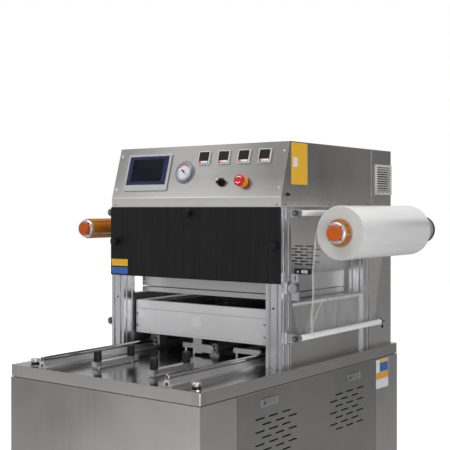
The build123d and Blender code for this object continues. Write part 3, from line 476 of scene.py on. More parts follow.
white_foil = moulded("white_foil", (0.6, 0.6, 0.66), (0.7, 0.7, 0.76), 0.4)
yellow_foil = moulded("yellow_foil", (0.62, 0.35, 0.012), (0.74, 0.43, 0.03), 0.4)
blue_foil = moulded("blue_foil", (0.02, 0.08, 0.3), (0.035, 0.12, 0.38), 0.4)
orange_foil = moulded("orange_foil", (0.58, 0.28, 0.02), (0.68, 0.35, 0.04), 0.4)
for name, width, height, place, finish, slot_name in (
    ("cabinet_plate", 0.097, 0.108, (402.8, 1102.4, -100.5), white_foil, "silver_plastic"),
    ("cabinet_plate_blue", 0.066, 0.034, (403.1, 1115.5, -76), blue_foil, "silver_plastic"),
    ("cabinet_plate_yellow", 0.07, 0.01, (403.1, 1114.5, -53), yellow_foil, "yellow_plastic"),
    ("cabinet_plate_band", 0.097, 0.026, (403.1, 1102.4, -107), orange_foil, "yellow_plastic"),
):
    foil(name, width, height, place, RIGHTWARD, finish)


# Table top: one polished stainless sheet, bright enough to mirror what stands on it, folded down
# all round. Its lip is brushed, with front corners welded and ground dull over the weld.
def ground_corners(start):
    """The ground patches beside the front corners of the turned-down lip."""
    x, y, z = axes(start)
    low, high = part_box("table_top")
    reach = 0.03
    ends = (x < low[0] + reach) + (x > high[0] - reach)
    return ends * (y < low[1] + reach) * (z < high[2] - 0.002) > 0.5


def lip_part(start):
    """The turned-down lip, which is only brushed."""
    return (axes(start)[2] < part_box("table_top")[1][2] - 0.002) * 0.2


# The sheet's edges and corners get a painted highlight.
mirror_sheet = metal(
    "table_sheet",
    (0.26, 0.255, 0.25),
    (0.41, 0.405, 0.4),
    (500, 14, 14),
    0.15,
    depth=0.00001,
    edge_highlight_radius=0.005,
    patch=ground_corners,
    paler=lip_part,
)
dress(mirror_sheet, "table_top")


# Start buttons: ground steel caps on stems in collars of moulded black plastic, bolted down
# through the table's front corners, with a bright steel ring round each collar's foot.
UPWARD = Matrix.Identity(4)
FRONTWARD = turned((1, 0, 0), (0, 0, 1), (0, -1, 0))


def arc(radius, width, height, first, last, steps=16):
    """A flat curved strip between two angles in degrees, its back on the origin."""
    begin(bpy.ops.mesh.primitive_plane_add, size=1)
    bpy.ops.transform.resize(value=(width, height, 1))
    turn = Matrix.Rotation(math.radians(first), 4, "Z") @ FRONTWARD
    shape = bmesh.from_edit_mesh(bpy.context.object.data)
    bmesh.ops.transform(shape, matrix=turn @ Matrix.Translation((radius, height / 2, 0)), verts=shape.verts)
    bmesh.update_edit_mesh(bpy.context.object.data)
    bpy.ops.mesh.spin(
        steps=steps, angle=math.radians(first - last), center=(0, 0, 0), axis=(0, 0, 1), use_normal_flip=False
    )
    bpy.ops.mesh.select_all(action="SELECT")
    bpy.ops.mesh.remove_doubles(threshold=0.000001)
    return end()


ground = metal("ground_steel", (0.5, 0.48, 0.46), (0.66, 0.64, 0.62), (60, 900, 60), 0.14, depth=0.00001)
dress(ground, "start_button_left", "start_button_right")
black_shell = moulded("black_moulding", (0.004, 0.004, 0.005), (0.012, 0.012, 0.013), 0.3, 0.25)
dress(black_shell, "button_collars")
bright_screw = metal("bright_screw", (0.5, 0.5, 0.5), (0.72, 0.72, 0.72), (900, 900, 900), 0.25)
button_places = [put(spot(x, y, 0), UPWARD) for x, y in ((-326, 38), (366, 30))]
set_out(arc(0.0172, 0.0024, 0.0022, 0, 360, 40), "button_rings", button_places, bright_screw)


# Rails: hardened and ground round shafts, cradled by sawn aluminium supports that are screwed
# down to the table. The shafts' cut ends are painted dark brown as shade, and a dark disc under
# each is painted shade for a bolt hole.
def socket_screw():
    """A screw head one unit in radius with a round recess, its lower half sunk in the sheet."""
    begin(bpy.ops.mesh.primitive_cylinder_add, vertices=16, radius=1, depth=0.7)
    pick(top)
    bpy.ops.mesh.bevel(offset=0.16, segments=2, affect="EDGES")
    pick(lambda face: top(face) and len(face.verts) > 8)
    bpy.ops.mesh.inset(thickness=0.3)
    push(-0.4)
    return end()


RAILS = (-267, 267)
RAIL_FRONT = 15
SHAFT_HEIGHT = 28
# The supports' and bars' edges get a painted highlight.
sawn = metal("sawn_bar", (0.56, 0.56, 0.57), (0.74, 0.74, 0.75), (700, 8, 700), 0.36, edge_highlight_radius=0.001)
dress(sawn, "rail_supports")
dress(ground, "rail_shafts")
screw = socket_screw()
set_out(
    screw,
    "rail_screws",
    [
        put(spot(rail + step, y, 5), UPWARD, 0.0028)
        for rail in RAILS
        for step in (-16.8, 16.8)
        for y in range(60, 1000, 150)
    ],
    bright_screw,
)
round_end = disc(1, 0.08, 32)
# Painted shade: dark discs on the shafts' cut ends and in the supports' bolt holes.
shaded_end_steel = metal("shaded_end_steel", (0.1, 0.075, 0.065), (0.2, 0.15, 0.13), (400, 400, 400), 0.45, metallic=0.6)
hole_shade = moulded("hole_shade", (0.002, 0.002, 0.002), (0.008, 0.008, 0.008), 0.7)
shaft_places = [put(spot(rail, RAIL_FRONT, SHAFT_HEIGHT), FRONTWARD, 0.0074) for rail in RAILS]
hole_places = [put(spot(rail, RAIL_FRONT, 7.4), FRONTWARD, 0.0048) for rail in RAILS]
set_out(round_end, "shaft_ends", shaft_places, shaded_end_steel)
set_out(round_end, "rail_hole_shades", hole_places, hole_shade)

# Tray lifters: two sawn aluminium bars between the rails, with a ribbed black rubber post near
# each end, and two short stops behind them. Dark screws in the bars' sides hold the posts.
ribbed, start = new_finish("ribbed_rubber", {"Specular IOR Level": 0.25})
rib = grain(start, (340, 340, 3), 1.0)
feed(ribbed, "Base Color", tones(start, rib, (0.002, 0.002, 0.003), (0.018, 0.018, 0.02)))
feed(ribbed, "Roughness", 0.3 + rib * 0.3)
feed(ribbed, "Normal", bump(start, rib, 0.6, 0.0012))
dress(ribbed, "rubber_posts")
dress(sawn, "table_bars")
bar_places = [
    put(spot(bar + side * 12, y, 12.5), turn, 0.003)
    for side, word, turn in SIDES
    for bar in (-122, 122)
    for y in (124, 283)
]
set_out(screw, "bar_screws", bar_places, dark_screw)

# Posts: four drawn aluminium profiles, 60 mm square with two T-slots a side, which stand on the
# table and carry the housing. Fine lines from the die run up them.
drawn_bright = metal(
    "drawn_profile",
    (0.56, 0.56, 0.575),
    (0.72, 0.72, 0.735),
    (1200, 1200, 6),
    0.3,
    depth=0.000006,
    streaks=0.1,
)
dress(drawn_bright, "posts")

# Side panels: brushed stainless sheets between the front and rear posts, folded inwards along
# the top, with lines that run level.
# Their edges get a painted highlight.
panel_sheet = metal(
    "side_panel_sheet",
    (0.3, 0.296, 0.29),
    (0.42, 0.415, 0.41),
    LEVEL_LINES,
    0.34,
    metallic=0.8,
    edge_highlight_radius=SHEET_EDGE,
)
dress(panel_sheet, "side_panels")

# Drawer: milled aluminium plates with a satin grain, screwed into a box under a top frame, on a
# duller carriage plate and bearing blocks. Fine dark gaps show under the frame and along the
# front's foot, and a pale round foil is stuck on the front.
# The plates' edges get a painted highlight, here and on the duller plate.
milled = metal(
    "milled_plate",
    (0.72, 0.715, 0.73),
    (0.84, 0.835, 0.85),
    (9, 420, 420),
    0.42,
    clouds=6.0,
    metallic=0.75,
    edge_highlight_radius=0.0012,
    streaks=0.12,
)
dress(milled, "drawer_frame", "drawer_box")
dull_plate = metal(
    "dull_plate",
    (0.46, 0.455, 0.46),
    (0.6, 0.595, 0.6),
    (9, 420, 420),
    0.4,
    clouds=6.0,
    metallic=0.95,
    edge_highlight_radius=0.0012,
)
dress(dull_plate, "carriage", "bearing_blocks")
DRAWER_FRONT = 511
grey_screw = metal("grey_screw", (0.16, 0.16, 0.16), (0.3, 0.3, 0.3), (900, 900, 900), 0.3)
front_places = [
    put(spot(x, DRAWER_FRONT, z), FRONTWARD, 0.0042) for x in (-299, 272) for z in (88, 130.5)
]
set_out(screw, "drawer_screws", front_places, grey_screw, "drawer")
# Dark joints, and also painted shade in holes, slots and behind the vents.
dark_joint_and_shade = moulded("dark_joint_and_shade", (0.006, 0.006, 0.006), (0.014, 0.014, 0.014), 0.6)
for name, height, z in (("drawer_joint", 0.0009, 151), ("drawer_foot_joint", 0.0004, 70)):
    gap = plate(0.6096, height, 0.0001, 0.0001, 0.00002)
    set_out(gap, name, [put(spot(0, DRAWER_FRONT, z), FRONTWARD)], dark_joint_and_shade, "drawer")
plate_place = put(spot(-21, DRAWER_FRONT, 122), FRONTWARD)
set_out(disc(0.0225, 0.0003), "drawer_plate", [plate_place], white_foil, "drawer")

# Bearing seals: black rubber rings at both ends of the drawer's bearing blocks, where they wipe
# the shafts.
rubber = moulded("seal_rubber", (0.006, 0.006, 0.007), (0.016, 0.016, 0.018), 0.4, 0.35)
BEARING_FACES = (574, 618.6, 882, 926.6)
seal_places = [put(spot(rail, y, SHAFT_HEIGHT), FRONTWARD) for rail in RAILS for y in BEARING_FACES]
set_out(arc(0.01, 0.0036, 0.0016, 0, 360, 32), "bearing_seals", seal_places, rubber, "drawer")

# Tray mould: an aluminium block with a dark non-stick coat, worn paler in places, held down in
# the drawer by rows of zinc-plated screws.
coat, start = new_finish("mould_coat", {"Metallic": 0.3})
wear = grain(start, (60, 60, 60), 4.0)
feed(coat, "Base Color", tones(start, wear, (0.1, 0.1, 0.102), (0.24, 0.24, 0.245)))
feed(coat, "Roughness", 0.34 + wear * 0.2)
feed(coat, "Normal", bump(start, wear, 0.2, 0.0002))
dress(coat, "tray_mould")
zinc_screw = metal("zinc_screw", (0.8, 0.8, 0.81), (0.94, 0.94, 0.95), (900, 900, 900), 0.45, metallic=0.2)
mould_holes = [(x, y) for x in (-244, -122, 0, 122, 244) for y in (552, 919)]
mould_holes += [(x, y) for x in (-244, 0, 244) for y in (660, 811)]
mould_places = [put(spot(x, y, 176), UPWARD, 0.0042) for x, y in mould_holes]
set_out(screw, "mould_screws", mould_places, zinc_screw, "drawer")

# Drawer drive: a dull aluminium cylinder on the table, whose ground piston rod is bolted to a
# sawn bracket under the carriage. Two bright screw heads show on the bracket's front.
dress(dull_plate, "drive_cylinder")
dress(ground, "piston_rod")
dress(sawn, "drive_bracket")
drive_places = [put(spot(-24, 522, 40), FRONTWARD, 0.005), put(spot(34, 522, 26), FRONTWARD, 0.0085)]
set_out(screw, "drive_screws", drive_places, bright_screw, "drawer")

# Press head: a block and a chamber plate of dull aluminium, hung from ground rods that run in
# milled guides and the press cylinder under the housing. Two dark screws show on the front.
dress(dull_plate, "head_block", "chamber_plate")
dress(milled, "head_guides")
dress(ground, "press_rods")
head_places = [put(spot(x, 545, 258), FRONTWARD, 0.0045) for x in (-296, 296)]
set_out(screw, "head_screws", head_places, dark_screw, "press_head")


# Upper housing: a box of brushed stainless sheet with a slanted front, folded and screwed at its
# foot, with level hair lines and a yellow foil with a white field on its right side. A floor of
# white enamelled sheet closes it from below.
def ramp_over(value, low, high):
    """A value's way from low to high, from 0 to 1."""
    return value.node("ShaderNodeMapRange", inputs={"Value": value, "From Min": low, "From Max": high})


def painted_sheen_left_of_middle(start):
    """Painted light: a broad painted highlight makes the housing's front palest just left of its middle, with
    painted shade towards its ends.
    """
    x = axes(start)[0]
    beside = x + 0.06
    return beside * beside * -4 * (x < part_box("upper_housing")[1][0] - 0.0015)


def lower_part(start):
    """The housing's upright foot and the column under it are paler, the foot's front most of all."""
    x, y, z = axes(start)
    foot_front = (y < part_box("upper_housing")[0][1] + 0.002) * (z < 1.36)
    return (ramp_over(z, 1.43, 1.335) + foot_front) * 0.4


# The housing sheet gets a painted highlight across its front, painted shade towards its ends, and painted
# highlights on its edges.
housing_sheet = metal(
    "housing_sheet",
    (0.29, 0.287, 0.283),
    (0.5, 0.492, 0.486),
    LEVEL_LINES,
    0.28,
    depth=0.000005,
    clouds=2.2,
    painted_light_drift=painted_sheen_left_of_middle,
    edge_highlight_radius=0.002,
    streaks=0.04,
    paler=lower_part,
)
dress(housing_sheet, "upper_housing")
inner_sheet = metal("inner_sheet", (0.84, 0.83, 0.82), (0.96, 0.95, 0.94), LEVEL_LINES, 0.5, metallic=0.05)
dress(inner_sheet, "housing_floor")
HOUSING_FRONT = 454.7
HOUSING_SIDE = 375.8
foot_places = [put(spot(x, HOUSING_FRONT, 532.5), FRONTWARD, 0.003) for x in (-359.5, 359.5)]
for side, word, turn in SIDES:
    foot_places += [put(spot(side * HOUSING_SIDE, y, 533), turn, 0.003) for y in (479, 762, 1043)]
set_out(screw, "housing_screws", foot_places, dark_screw)
for name, width, height, place, finish, slot_name in (
    ("housing_plate", 0.1, 0.138, (HOUSING_SIDE, 565, 668.5), yellow_foil, "yellow_plastic"),
    ("housing_plate_field", 0.024, 0.032, (HOUSING_SIDE + 0.3, 539, 673), white_foil, "silver_plastic"),
):
    foil(name, width, height, place, RIGHTWARD, finish)

# Tube fitting: a six-sided push-in fitting of black plastic, screwed into the housing's right
# side, low at its front.
begin(bpy.ops.mesh.primitive_cylinder_add, vertices=6, radius=0.006, depth=0.004)
pick(top)
bpy.ops.mesh.inset(thickness=0.0016)
push(0.006)
bpy.ops.mesh.inset(thickness=0.0012)
push(-0.003)
fitting_place = put(spot(HOUSING_SIDE, 493, 566), RIGHTWARD)
set_out(end(), "tube_fitting", [fitting_place], black_shell)

# Rear column: a shell folded from the same brushed sheet as the housing, closed at its front by a
# white slotted sheet. A pale strip shows on each side where the housing meets it.
dress(housing_sheet, "rear_column")
dress(inner_sheet, "column_front")
seam_edge = metal("seam_edge", (0.62, 0.615, 0.61), (0.74, 0.735, 0.73), (90, 90, 90), 0.45, metallic=0.0)
for side, word, turn in SIDES:
    strip = plate(0.0028, 0.214, 0.001, 0.0004)
    set_out(strip, f"seam_{word}", [put(spot(side * 374.6, 1067.5, 633), turn)], seam_edge)

# Louvre vents: grey plastic frames moulded in one with their slanted blades, clipped high on the
# column's sides. The sheet is cut open behind their middle, where a dark plate is painted shade
# for the gaps between the blades.
grey_shell = moulded("vent_moulding", (0.52, 0.52, 0.51), (0.62, 0.62, 0.61), 0.5)
dress(grey_shell, "louvre_vents")
for side, word, turn in SIDES:
    back = plate(0.085, 0.071, 0.0002, 0.001, 0.00005)
    vent_shade_place = put(spot(side * HOUSING_SIDE, 1152, 629), turn)
    set_out(back, f"vent_shade_{word}", [vent_shade_place], dark_joint_and_shade)

# Control panel: the housing's slanted front sheet, held by four small zinc-plated screws near
# its corners. It leans back 52.4 mm over a height of 184.6 mm.
SLANT = math.atan2(52.4, 184.6)
PANEL_FOOT = 556.7
PANELWARD = turned((1, 0, 0), (0, math.sin(SLANT), math.cos(SLANT)), (0, -math.cos(SLANT), math.sin(SLANT)))


def on_panel(x, up, out=0.0):
    """A place on the slanted panel: right of the middle, up the slope, and out of it."""
    return spot(
        x,
        HOUSING_FRONT + up * math.sin(SLANT) - out * math.cos(SLANT),
        PANEL_FOOT + up * math.cos(SLANT) + out * math.sin(SLANT),
    )


PANEL_SCREWS = ((-361, 162, 0.004), (-361, 34, 0.004), (361, 160, 0.003), (361, 33, 0.003))
screw_places = [put(on_panel(x, up), PANELWARD, size) for x, up, size in PANEL_SCREWS]
set_out(screw, "panel_screws", screw_places, zinc_screw)

# Touch screen: a dark silver moulded frame clamps the glass, which shows a blue edge round the
# black display under it. The display is switched off.
silver_shell = moulded("screen_moulding", (0.35, 0.35, 0.35), (0.44, 0.44, 0.44), 0.3)
dress(silver_shell, "screen_frame")
glass, start = new_finish("screen_glass", {"Specular IOR Level": 0.1})
smear = grain(start, (20, 20, 20), 3.0)
feed(glass, "Base Color", tones(start, smear, (0.016, 0.022, 0.06), (0.026, 0.034, 0.085)))
feed(glass, "Roughness", 0.3 + smear * 0.1)
dress(glass, "screen_glass")
display, start = new_finish("display_glass", {"Specular IOR Level": 0.04})
smear = grain(start, (9, 9, 9), 2.0)
feed(display, "Base Color", tones(start, smear * 2 - 0.5, (0.001, 0.001, 0.003), (0.012, 0.012, 0.02)))
feed(display, "Roughness", 0.25 + smear * 0.2)
display_place = put(on_panel(-222, 104, 5), PANELWARD)
set_out(plate(0.148, 0.0835, 0.0003, 0.0015), "touch_display", [display_place], display)

# Vacuum gauge: a turned grey case held by three dark screws. On its white dial are a grey scale
# ring with black ticks, a red and a green zone, and a black needle that rests near the scale's
# right end.
gauge_case = metal(
    "gauge_case",
    (0.24, 0.235, 0.27),
    (0.37, 0.365, 0.4),
    (90, 90, 90),
    0.4,
    depth=0.00001,
    clouds=6.0,
    metallic=0.5,
)
dress(gauge_case, "vacuum_gauge")
GAUGE = (-46, 94)
RIM_RADIUS = 38.5
TICKS = 31
dial_face = put(on_panel(*GAUGE, 8), PANELWARD)
dial_white = moulded("dial_white", (0.52, 0.52, 0.58), (0.62, 0.62, 0.68), 0.4, 0.3)
dial_black = moulded("dial_black", (0.01, 0.01, 0.012), (0.02, 0.02, 0.022), 0.4)
dial_red = moulded("dial_red", (0.5, 0.02, 0.03), (0.62, 0.04, 0.05), 0.4)
dial_green = moulded("dial_green", (0.1, 0.4, 0.28), (0.16, 0.5, 0.36), 0.4)
scale_grey = moulded("scale_grey", (0.3, 0.29, 0.35), (0.42, 0.41, 0.47), 0.4)
rim_turns = [math.radians(turn) for turn in (90, 210, 330)]
rim_spots = [(RIM_RADIUS * math.cos(turn), RIM_RADIUS * math.sin(turn)) for turn in rim_turns]
gauge_places = [put(on_panel(GAUGE[0] + x, GAUGE[1] + up, 3), PANELWARD, 0.002) for x, up in rim_spots]
set_out(screw, "gauge_screws", gauge_places, dark_screw)
set_out(disc(0.0312, 0.0006), "gauge_dial", [dial_face], dial_white)
set_out(arc(0.0243, 0.0034, 0.0008, 42, 147), "gauge_red_zone", [dial_face], dial_red)
set_out(arc(0.0243, 0.0034, 0.0008, 172, 214), "gauge_green_zone", [dial_face], dial_green)
set_out(arc(0.0282, 0.0042, 0.0007, 0, 360, 48), "gauge_scale", [dial_face], scale_grey)
tick_places = [
    put(on_panel(*GAUGE, 8), PANELWARD, 1, -45 + 270 * step / (TICKS - 1))
    @ Matrix.Translation((0.0275, 0, 0))
    @ Matrix.Scale(1 if step % 3 == 0 else 0.6, 4)
    for step in range(TICKS)
]
set_out(plate(0.0036, 0.0009, 0.001, 0.0001), "gauge_ticks", tick_places, dial_black)
block(0.034, 0.0032, 0.0006)
bpy.ops.transform.translate(value=(0.004, 0, 0.0015))
pick(lambda face: face.normal.x > 0.9)
bpy.ops.transform.resize(value=(1, 0.2, 1))
needle_place = put(on_panel(*GAUGE, 8), PANELWARD, 1, -35)
set_out(end(), "gauge_needle", [needle_place], dial_black)
set_out(disc(0.0036, 0.0032, 24), "gauge_hub", [dial_face], dial_black)

# Temperature controllers: pale moulded frames clipped into the panel, each with a brown-black
# display above a dark strip of four keys, of which the left one is red.
CONTROLLERS = (33, 118, 203, 288)
CONTROLLER_UP = 143
controller_frame = moulded("controller_frame", (0.5, 0.5, 0.5), (0.6, 0.6, 0.6), 0.35)
dress(controller_frame, "temperature_controllers")
read_out = moulded("read_out", (0.01, 0.006, 0.006), (0.022, 0.013, 0.013), 0.3, 0.2)
key_white = moulded("key_white", (0.66, 0.66, 0.68), (0.78, 0.78, 0.8), 0.35)
key_red = moulded("key_red", (0.6, 0.12, 0.16), (0.72, 0.2, 0.24), 0.35)
face_plate = plate(0.0424, 0.0315, 0.0011, 0.0008)
strip = plate(0.0424, 0.0105, 0.0006, 0.0006)
key = plate(0.0088, 0.0075, 0.0013, 0.0012)
for shape, name, steps, up, slot_name, finish in (
    (face_plate, "controller_displays", (0,), 5.5, "black_plastic", read_out),
    (strip, "controller_strips", (0,), -16, "black_plastic", read_out),
    (key, "controller_keys", (-5, 4.7, 14.4), -15.5, "silver_plastic", key_white),
    (key, "controller_red_keys", (-14.8,), -15.5, "red_plastic", key_red),
):
    places = [
        put(on_panel(x + step, CONTROLLER_UP + up, 5.5), PANELWARD) for x in CONTROLLERS for step in steps
    ]
    set_out(shape, name, places, finish)

# Emergency stop and selector: a moulded red mushroom head in a yellow collar, with two curved
# white arrows printed on it, and a black plastic knob with a white mark near its grip's end.
red_shell = moulded("red_moulding", (0.4, 0.006, 0.012), (0.54, 0.012, 0.02), 0.3, 0.3)
dress(red_shell, "stop_button")
yellow_shell = moulded("yellow_moulding", (0.56, 0.22, 0.01), (0.68, 0.3, 0.015), 0.35)
dress(yellow_shell, "stop_collar")
dress(black_shell, "selector_knob")
arrow_white = moulded("arrow_white", (0.7, 0.68, 0.68), (0.82, 0.8, 0.8), 0.4)
STOP = (213, 54)
SELECTOR = (124, 54)
GRIP_END = 5.2
stop_face = put(on_panel(*STOP, 27.8), PANELWARD)
for name, first in (("stop_arrow_1", 35), ("stop_arrow_2", 215)):
    arrow = arc(0.0115, 0.0024, 0.0005, first, first + 105)
    set_out(arrow, name, [stop_face], arrow_white, "emergency_stop")
mark_place = put(on_panel(SELECTOR[0] - GRIP_END, SELECTOR[1] + GRIP_END, 21.9), PANELWARD, 1, 45)
mark = plate(0.0024, 0.009, 0.0004, 0.0003)
set_out(mark, "selector_mark", [mark_place], arrow_white, "selector")

# Front cover: a black sheet with a dull skin, made up of upright strips about 72 mm wide, so
# fine lines run down it where they meet, and each strip bows a little. Three black knobs hold
# it, and a yellow and a blue foil are stuck on at its lower left corner.
STRIP = 0.072
cover_skin, start = new_finish("cover_skin", {"Specular IOR Level": 0.2})
ripple = grain(start, (38, 38, 3), 2.0)
speck = grain(start, (1400, 1400, 1400), 2.0)
wander = (grain(start, (3, 3, 5), 1.0) - 0.5) * 0.02
strips = (axes(start)[0] + wander + 5 * STRIP + 0.0457) / STRIP
over = start.node("ShaderNodeMath", {"operation": "FRACT"}, {0: strips}) - 0.5
joint = abs(over) > 0.47
skin_tone = tones(start, ripple * 0.7 - joint, (0.003, 0.003, 0.0035), (0.016, 0.016, 0.018))
feed(cover_skin, "Base Color", skin_tone)
feed(cover_skin, "Roughness", 0.46 + (ripple - 0.5) * 0.3)
feed(cover_skin, "Normal", bump(start, ripple * 0.5 - over * over * 1.2 + speck * 0.05, 0.5, 0.0014))
dress(cover_skin, "front_cover")
dress(black_shell, "cover_knobs")
foil("cover_plate_yellow", 0.081, 0.025, (-331.5, 448.7, 321.5), FRONTWARD, yellow_foil)
foil("cover_plate_blue", 0.081, 0.024, (-331.5, 448.7, 292.5), FRONTWARD, blue_foil)

# Cover top: a black strip along the cover's top edge, painted shade that closes the gap under the
# housing's front.
shade_strip_shape = plate(0.748, 0.0036, 0.005, 0.0004)
set_out(shade_strip_shape, "cover_top_shade", [put(spot(0, 454.4, 523.4), FRONTWARD)], rubber)

# Idle rollers: white plastic sleeves, slightly glossy, on fixed axles between dark steel brackets
# that are screwed to the posts and the column. A steel ring holds each axle in front.
dark_steel = metal("bracket_steel", (0.34, 0.34, 0.35), (0.5, 0.5, 0.51), (300, 60, 300), 0.34)
dress(dark_steel, "roller_brackets")
roller_skin = moulded("roller_sleeve", (0.68, 0.68, 0.68), (0.8, 0.8, 0.8), 0.3)
dress(roller_skin, "roller_lower_right", "roller_upper_right", "roller_lower_left", "roller_upper_left")
ROLLER_HEIGHTS = (98, 505)
bracket_places = [
    put(spot(side * 383.8, 1085 + step, z), turn, 0.0028)
    for side, word, turn in SIDES
    for step in (-10, 10)
    for z in ROLLER_HEIGHTS
]
set_out(screw, "bracket_screws", bracket_places, dark_screw)
ring_steel = metal("ring_steel", (0.07, 0.07, 0.075), (0.16, 0.16, 0.17), (90, 90, 90), 0.3)
axle_places = [put(spot(side * 412, 485, z), FRONTWARD) for side in (-1, 1) for z in ROLLER_HEIGHTS]
set_out(arc(0.0072, 0.0056, 0.006, 0, 360, 32), "axle_rings", axle_places, ring_steel)

# Film sensor: a small black moulded case across the top of a slotted steel bracket, which has a
# clamping knob and is fixed to the front right post. A grey window and a white lamp face forward.
dress(dark_steel, "sensor_bracket")
dress(black_shell, "film_sensor")
grey_window = moulded("grey_window", (0.3, 0.3, 0.31), (0.4, 0.4, 0.41), 0.3)
window = plate(0.024, 0.0105, 0.0004, 0.002)
set_out(window, "sensor_window", [put(spot(444, 487, 317), FRONTWARD)], grey_window)
lamp_place = put(spot(419, 487, 316), FRONTWARD)
set_out(disc(0.0026, 0.0006, 20), "sensor_lamp", [lamp_place], key_white)

# Reel hubs: cast arms and hubs in grey paint, bolted to the column's sides. The flange behind
# each hub is black.
REEL_SIDE = 554.3
REEL_HEIGHT = 442.3
FLANGE = (0.0472, 0.0495, spot(0, 1117, 0).y, spot(0, 1130.5, 0).y)


def between(value, low, high):
    """1 where a value is between two others, or else 0."""
    return (value > low) * (value < high)


hub_paint, start = new_finish("hub_paint", {})
x, y, z = axes(start)
pores = grain(start, (700, 700, 700), 3.0)
worn = grain(start, (14, 14, 14), 3.0)
beside = abs(x - spot(0, 0, 0).x) - REEL_SIDE / 1000
above = z - spot(0, 0, REEL_HEIGHT).z
off_centre = start.node("ShaderNodeMath", {"operation": "SQRT"}, {0: beside * beside + above * above})
flange = between(off_centre, *FLANGE[:2]) * between(y, *FLANGE[2:])
grey = tones(start, worn * 0.7 + pores * 0.3, (0.24, 0.245, 0.24), (0.34, 0.345, 0.34))
feed(hub_paint, "Base Color", tones(start, flange, grey, (0.012, 0.012, 0.013)))
feed(hub_paint, "Roughness", 0.4 + (worn - 0.5) * 0.14)
feed(hub_paint, "Normal", bump(start, pores, 0.25, 0.00006))
dress(hub_paint, "reel_arms")

# Reels: glossy orange mandrels that turn on the hubs, with turned collars and orange end caps.
# Bright keys run along them to grip the core, and slots and holes take a wrench; dark plates and
# discs laid in them are painted shade for their hollows.
tube_finish, start = new_finish("orange_tube", {"Specular IOR Level": 0.16})
band = grain(start, (40, 3, 40), 3.0)
feed(tube_finish, "Base Color", tones(start, band, (0.24, 0.065, 0.001), (0.54, 0.17, 0.003)))
feed(tube_finish, "Roughness", 0.38 + band * 0.12)
dress(tube_finish, "supply_mandrel", "takeup_mandrel")
cap_finish = moulded("orange_cap", (0.38, 0.062, 0.004), (0.49, 0.09, 0.007), 0.45, 0.25)
dress(cap_finish, "supply_cap", "takeup_cap")
turned_metal = metal(
    "turned_collar", (0.48, 0.48, 0.51), (0.66, 0.66, 0.69), (30, 800, 30), 0.38, metallic=0.7
)
dress(turned_metal, "supply_collar", "takeup_collar")
key_bar = plate(0.0052, 0.543, 0.0024, 0.0006)
hole_shade_disc = disc(0.0011, 0.0003, 12)
slot_shade_plate = plate(0.004, 0.009, 0.0006, 0.0012)
for word, side, key_turns in (("supply", 1, (-5, 115, 235)), ("takeup", -1, (-31, 89, 209))):
    middle = side * REEL_SIDE
    key_places = [
        Matrix.Translation(spot(middle, 778, REEL_HEIGHT))
        @ Matrix.Rotation(math.radians(90 - turn), 4, "Y")
        @ Matrix.Translation((0, 0, 0.0357))
        for turn in key_turns
    ]
    hole_places = [
        put(spot(middle + step * 9 + pair * 2, 479, REEL_HEIGHT + step * 11 - pair * 2), FRONTWARD)
        for step in (-1, 1)
        for pair in (-1, 1)
    ]
    collar = spot(middle, 492, REEL_HEIGHT)
    slot_places = [
        put(collar, FRONTWARD, 1, turn) @ Matrix.Translation((0, 0.0286, 0)) for turn in (45, 135, 225, 315)
    ]
    reel = f"{word}_reel"
    set_out(key_bar, f"{word}_keys", key_places, bright_screw, reel)
    set_out(hole_shade_disc, f"{word}_cap_hole_shades", hole_places, dark_joint_and_shade, reel)
    set_out(slot_shade_plate, f"{word}_collar_slot_shades", slot_places, dark_joint_and_shade, reel)

# Film core: a tube of wound paper, pinkish brown, with fibres along its turns. The keys grip it
# from inside.
paper, start = new_finish("core_paper", {})
fibre = grain(start, (300, 60, 300), 4.0)
feed(paper, "Base Color", tones(start, fibre, (0.26, 0.14, 0.1), (0.42, 0.25, 0.18)))
feed(paper, "Roughness", 0.75 + fibre * 0.15)
feed(paper, "Normal", bump(start, fibre, 0.4, 0.0003))
dress(paper, "film_core")


# Film roll: several hundred metres of clear film wound tight on the core, so it looks white, with
# faint bands along it, fine rings on its ends, and the edge of the last turn low on its side. A
# bluish-grey band high on its side is a painted reflection, and below its top it is painted greyer
# as shade.
def greater(one, other):
    """The greater of two values."""
    return one.node("ShaderNodeMath", {"operation": "MAXIMUM"}, {0: one, 1: other})


def smaller(one, other):
    """The smaller of two values."""
    return one.node("ShaderNodeMath", {"operation": "MINIMUM"}, {0: one, 1: other})


wound, start = new_finish("wound_film", {"Coat Weight": 0.35, "Coat Roughness": 0.15})
x, y, z = axes(start)
roll_low, roll_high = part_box("film_roll")
lift = z - (roll_low[2] + roll_high[2]) / 2
bands = grain(start, (26, 4, 26), 3.0)
run = ramp_over(y, roll_low[1] + 0.05, roll_high[1] - 0.1)
# Painted reflection: a bluish-grey band high on the roll's side, fading along it.
painted_reflection_band = greater(1 - abs(lift - 0.027) / 0.019, 0.0) * run
loose_end = abs(lift + 0.036 + (y - roll_low[1]) * 0.03) < 0.0011
end_face = y < roll_low[1] + 0.0022
body = tones(start, bands, (0.65, 0.645, 0.64), (0.8, 0.8, 0.8))
# Painted reflection and painted shade, with the last turn's edge, which is a real dark line.
reflection_shade_and_loose_end = smaller(painted_reflection_band * 0.6 + loose_end * 0.3 + ramp_over(lift, 0.045, 0.012) * 0.3, 1.0)
body = tones(start, reflection_shade_and_loose_end, body, (0.36, 0.355, 0.39))
ring = tones(start, grain(start, (200, 1, 200), 2.0), (0.4, 0.395, 0.38), (0.53, 0.525, 0.51))
feed(wound, "Base Color", tones(start, end_face, body, ring))
feed(wound, "Roughness", 0.28 + bands * 0.2)
feed(wound, "Normal", bump(start, bands * 0.6 + loose_end * 0.3, 0.3, 0.0015))
dress(wound, "film_roll")

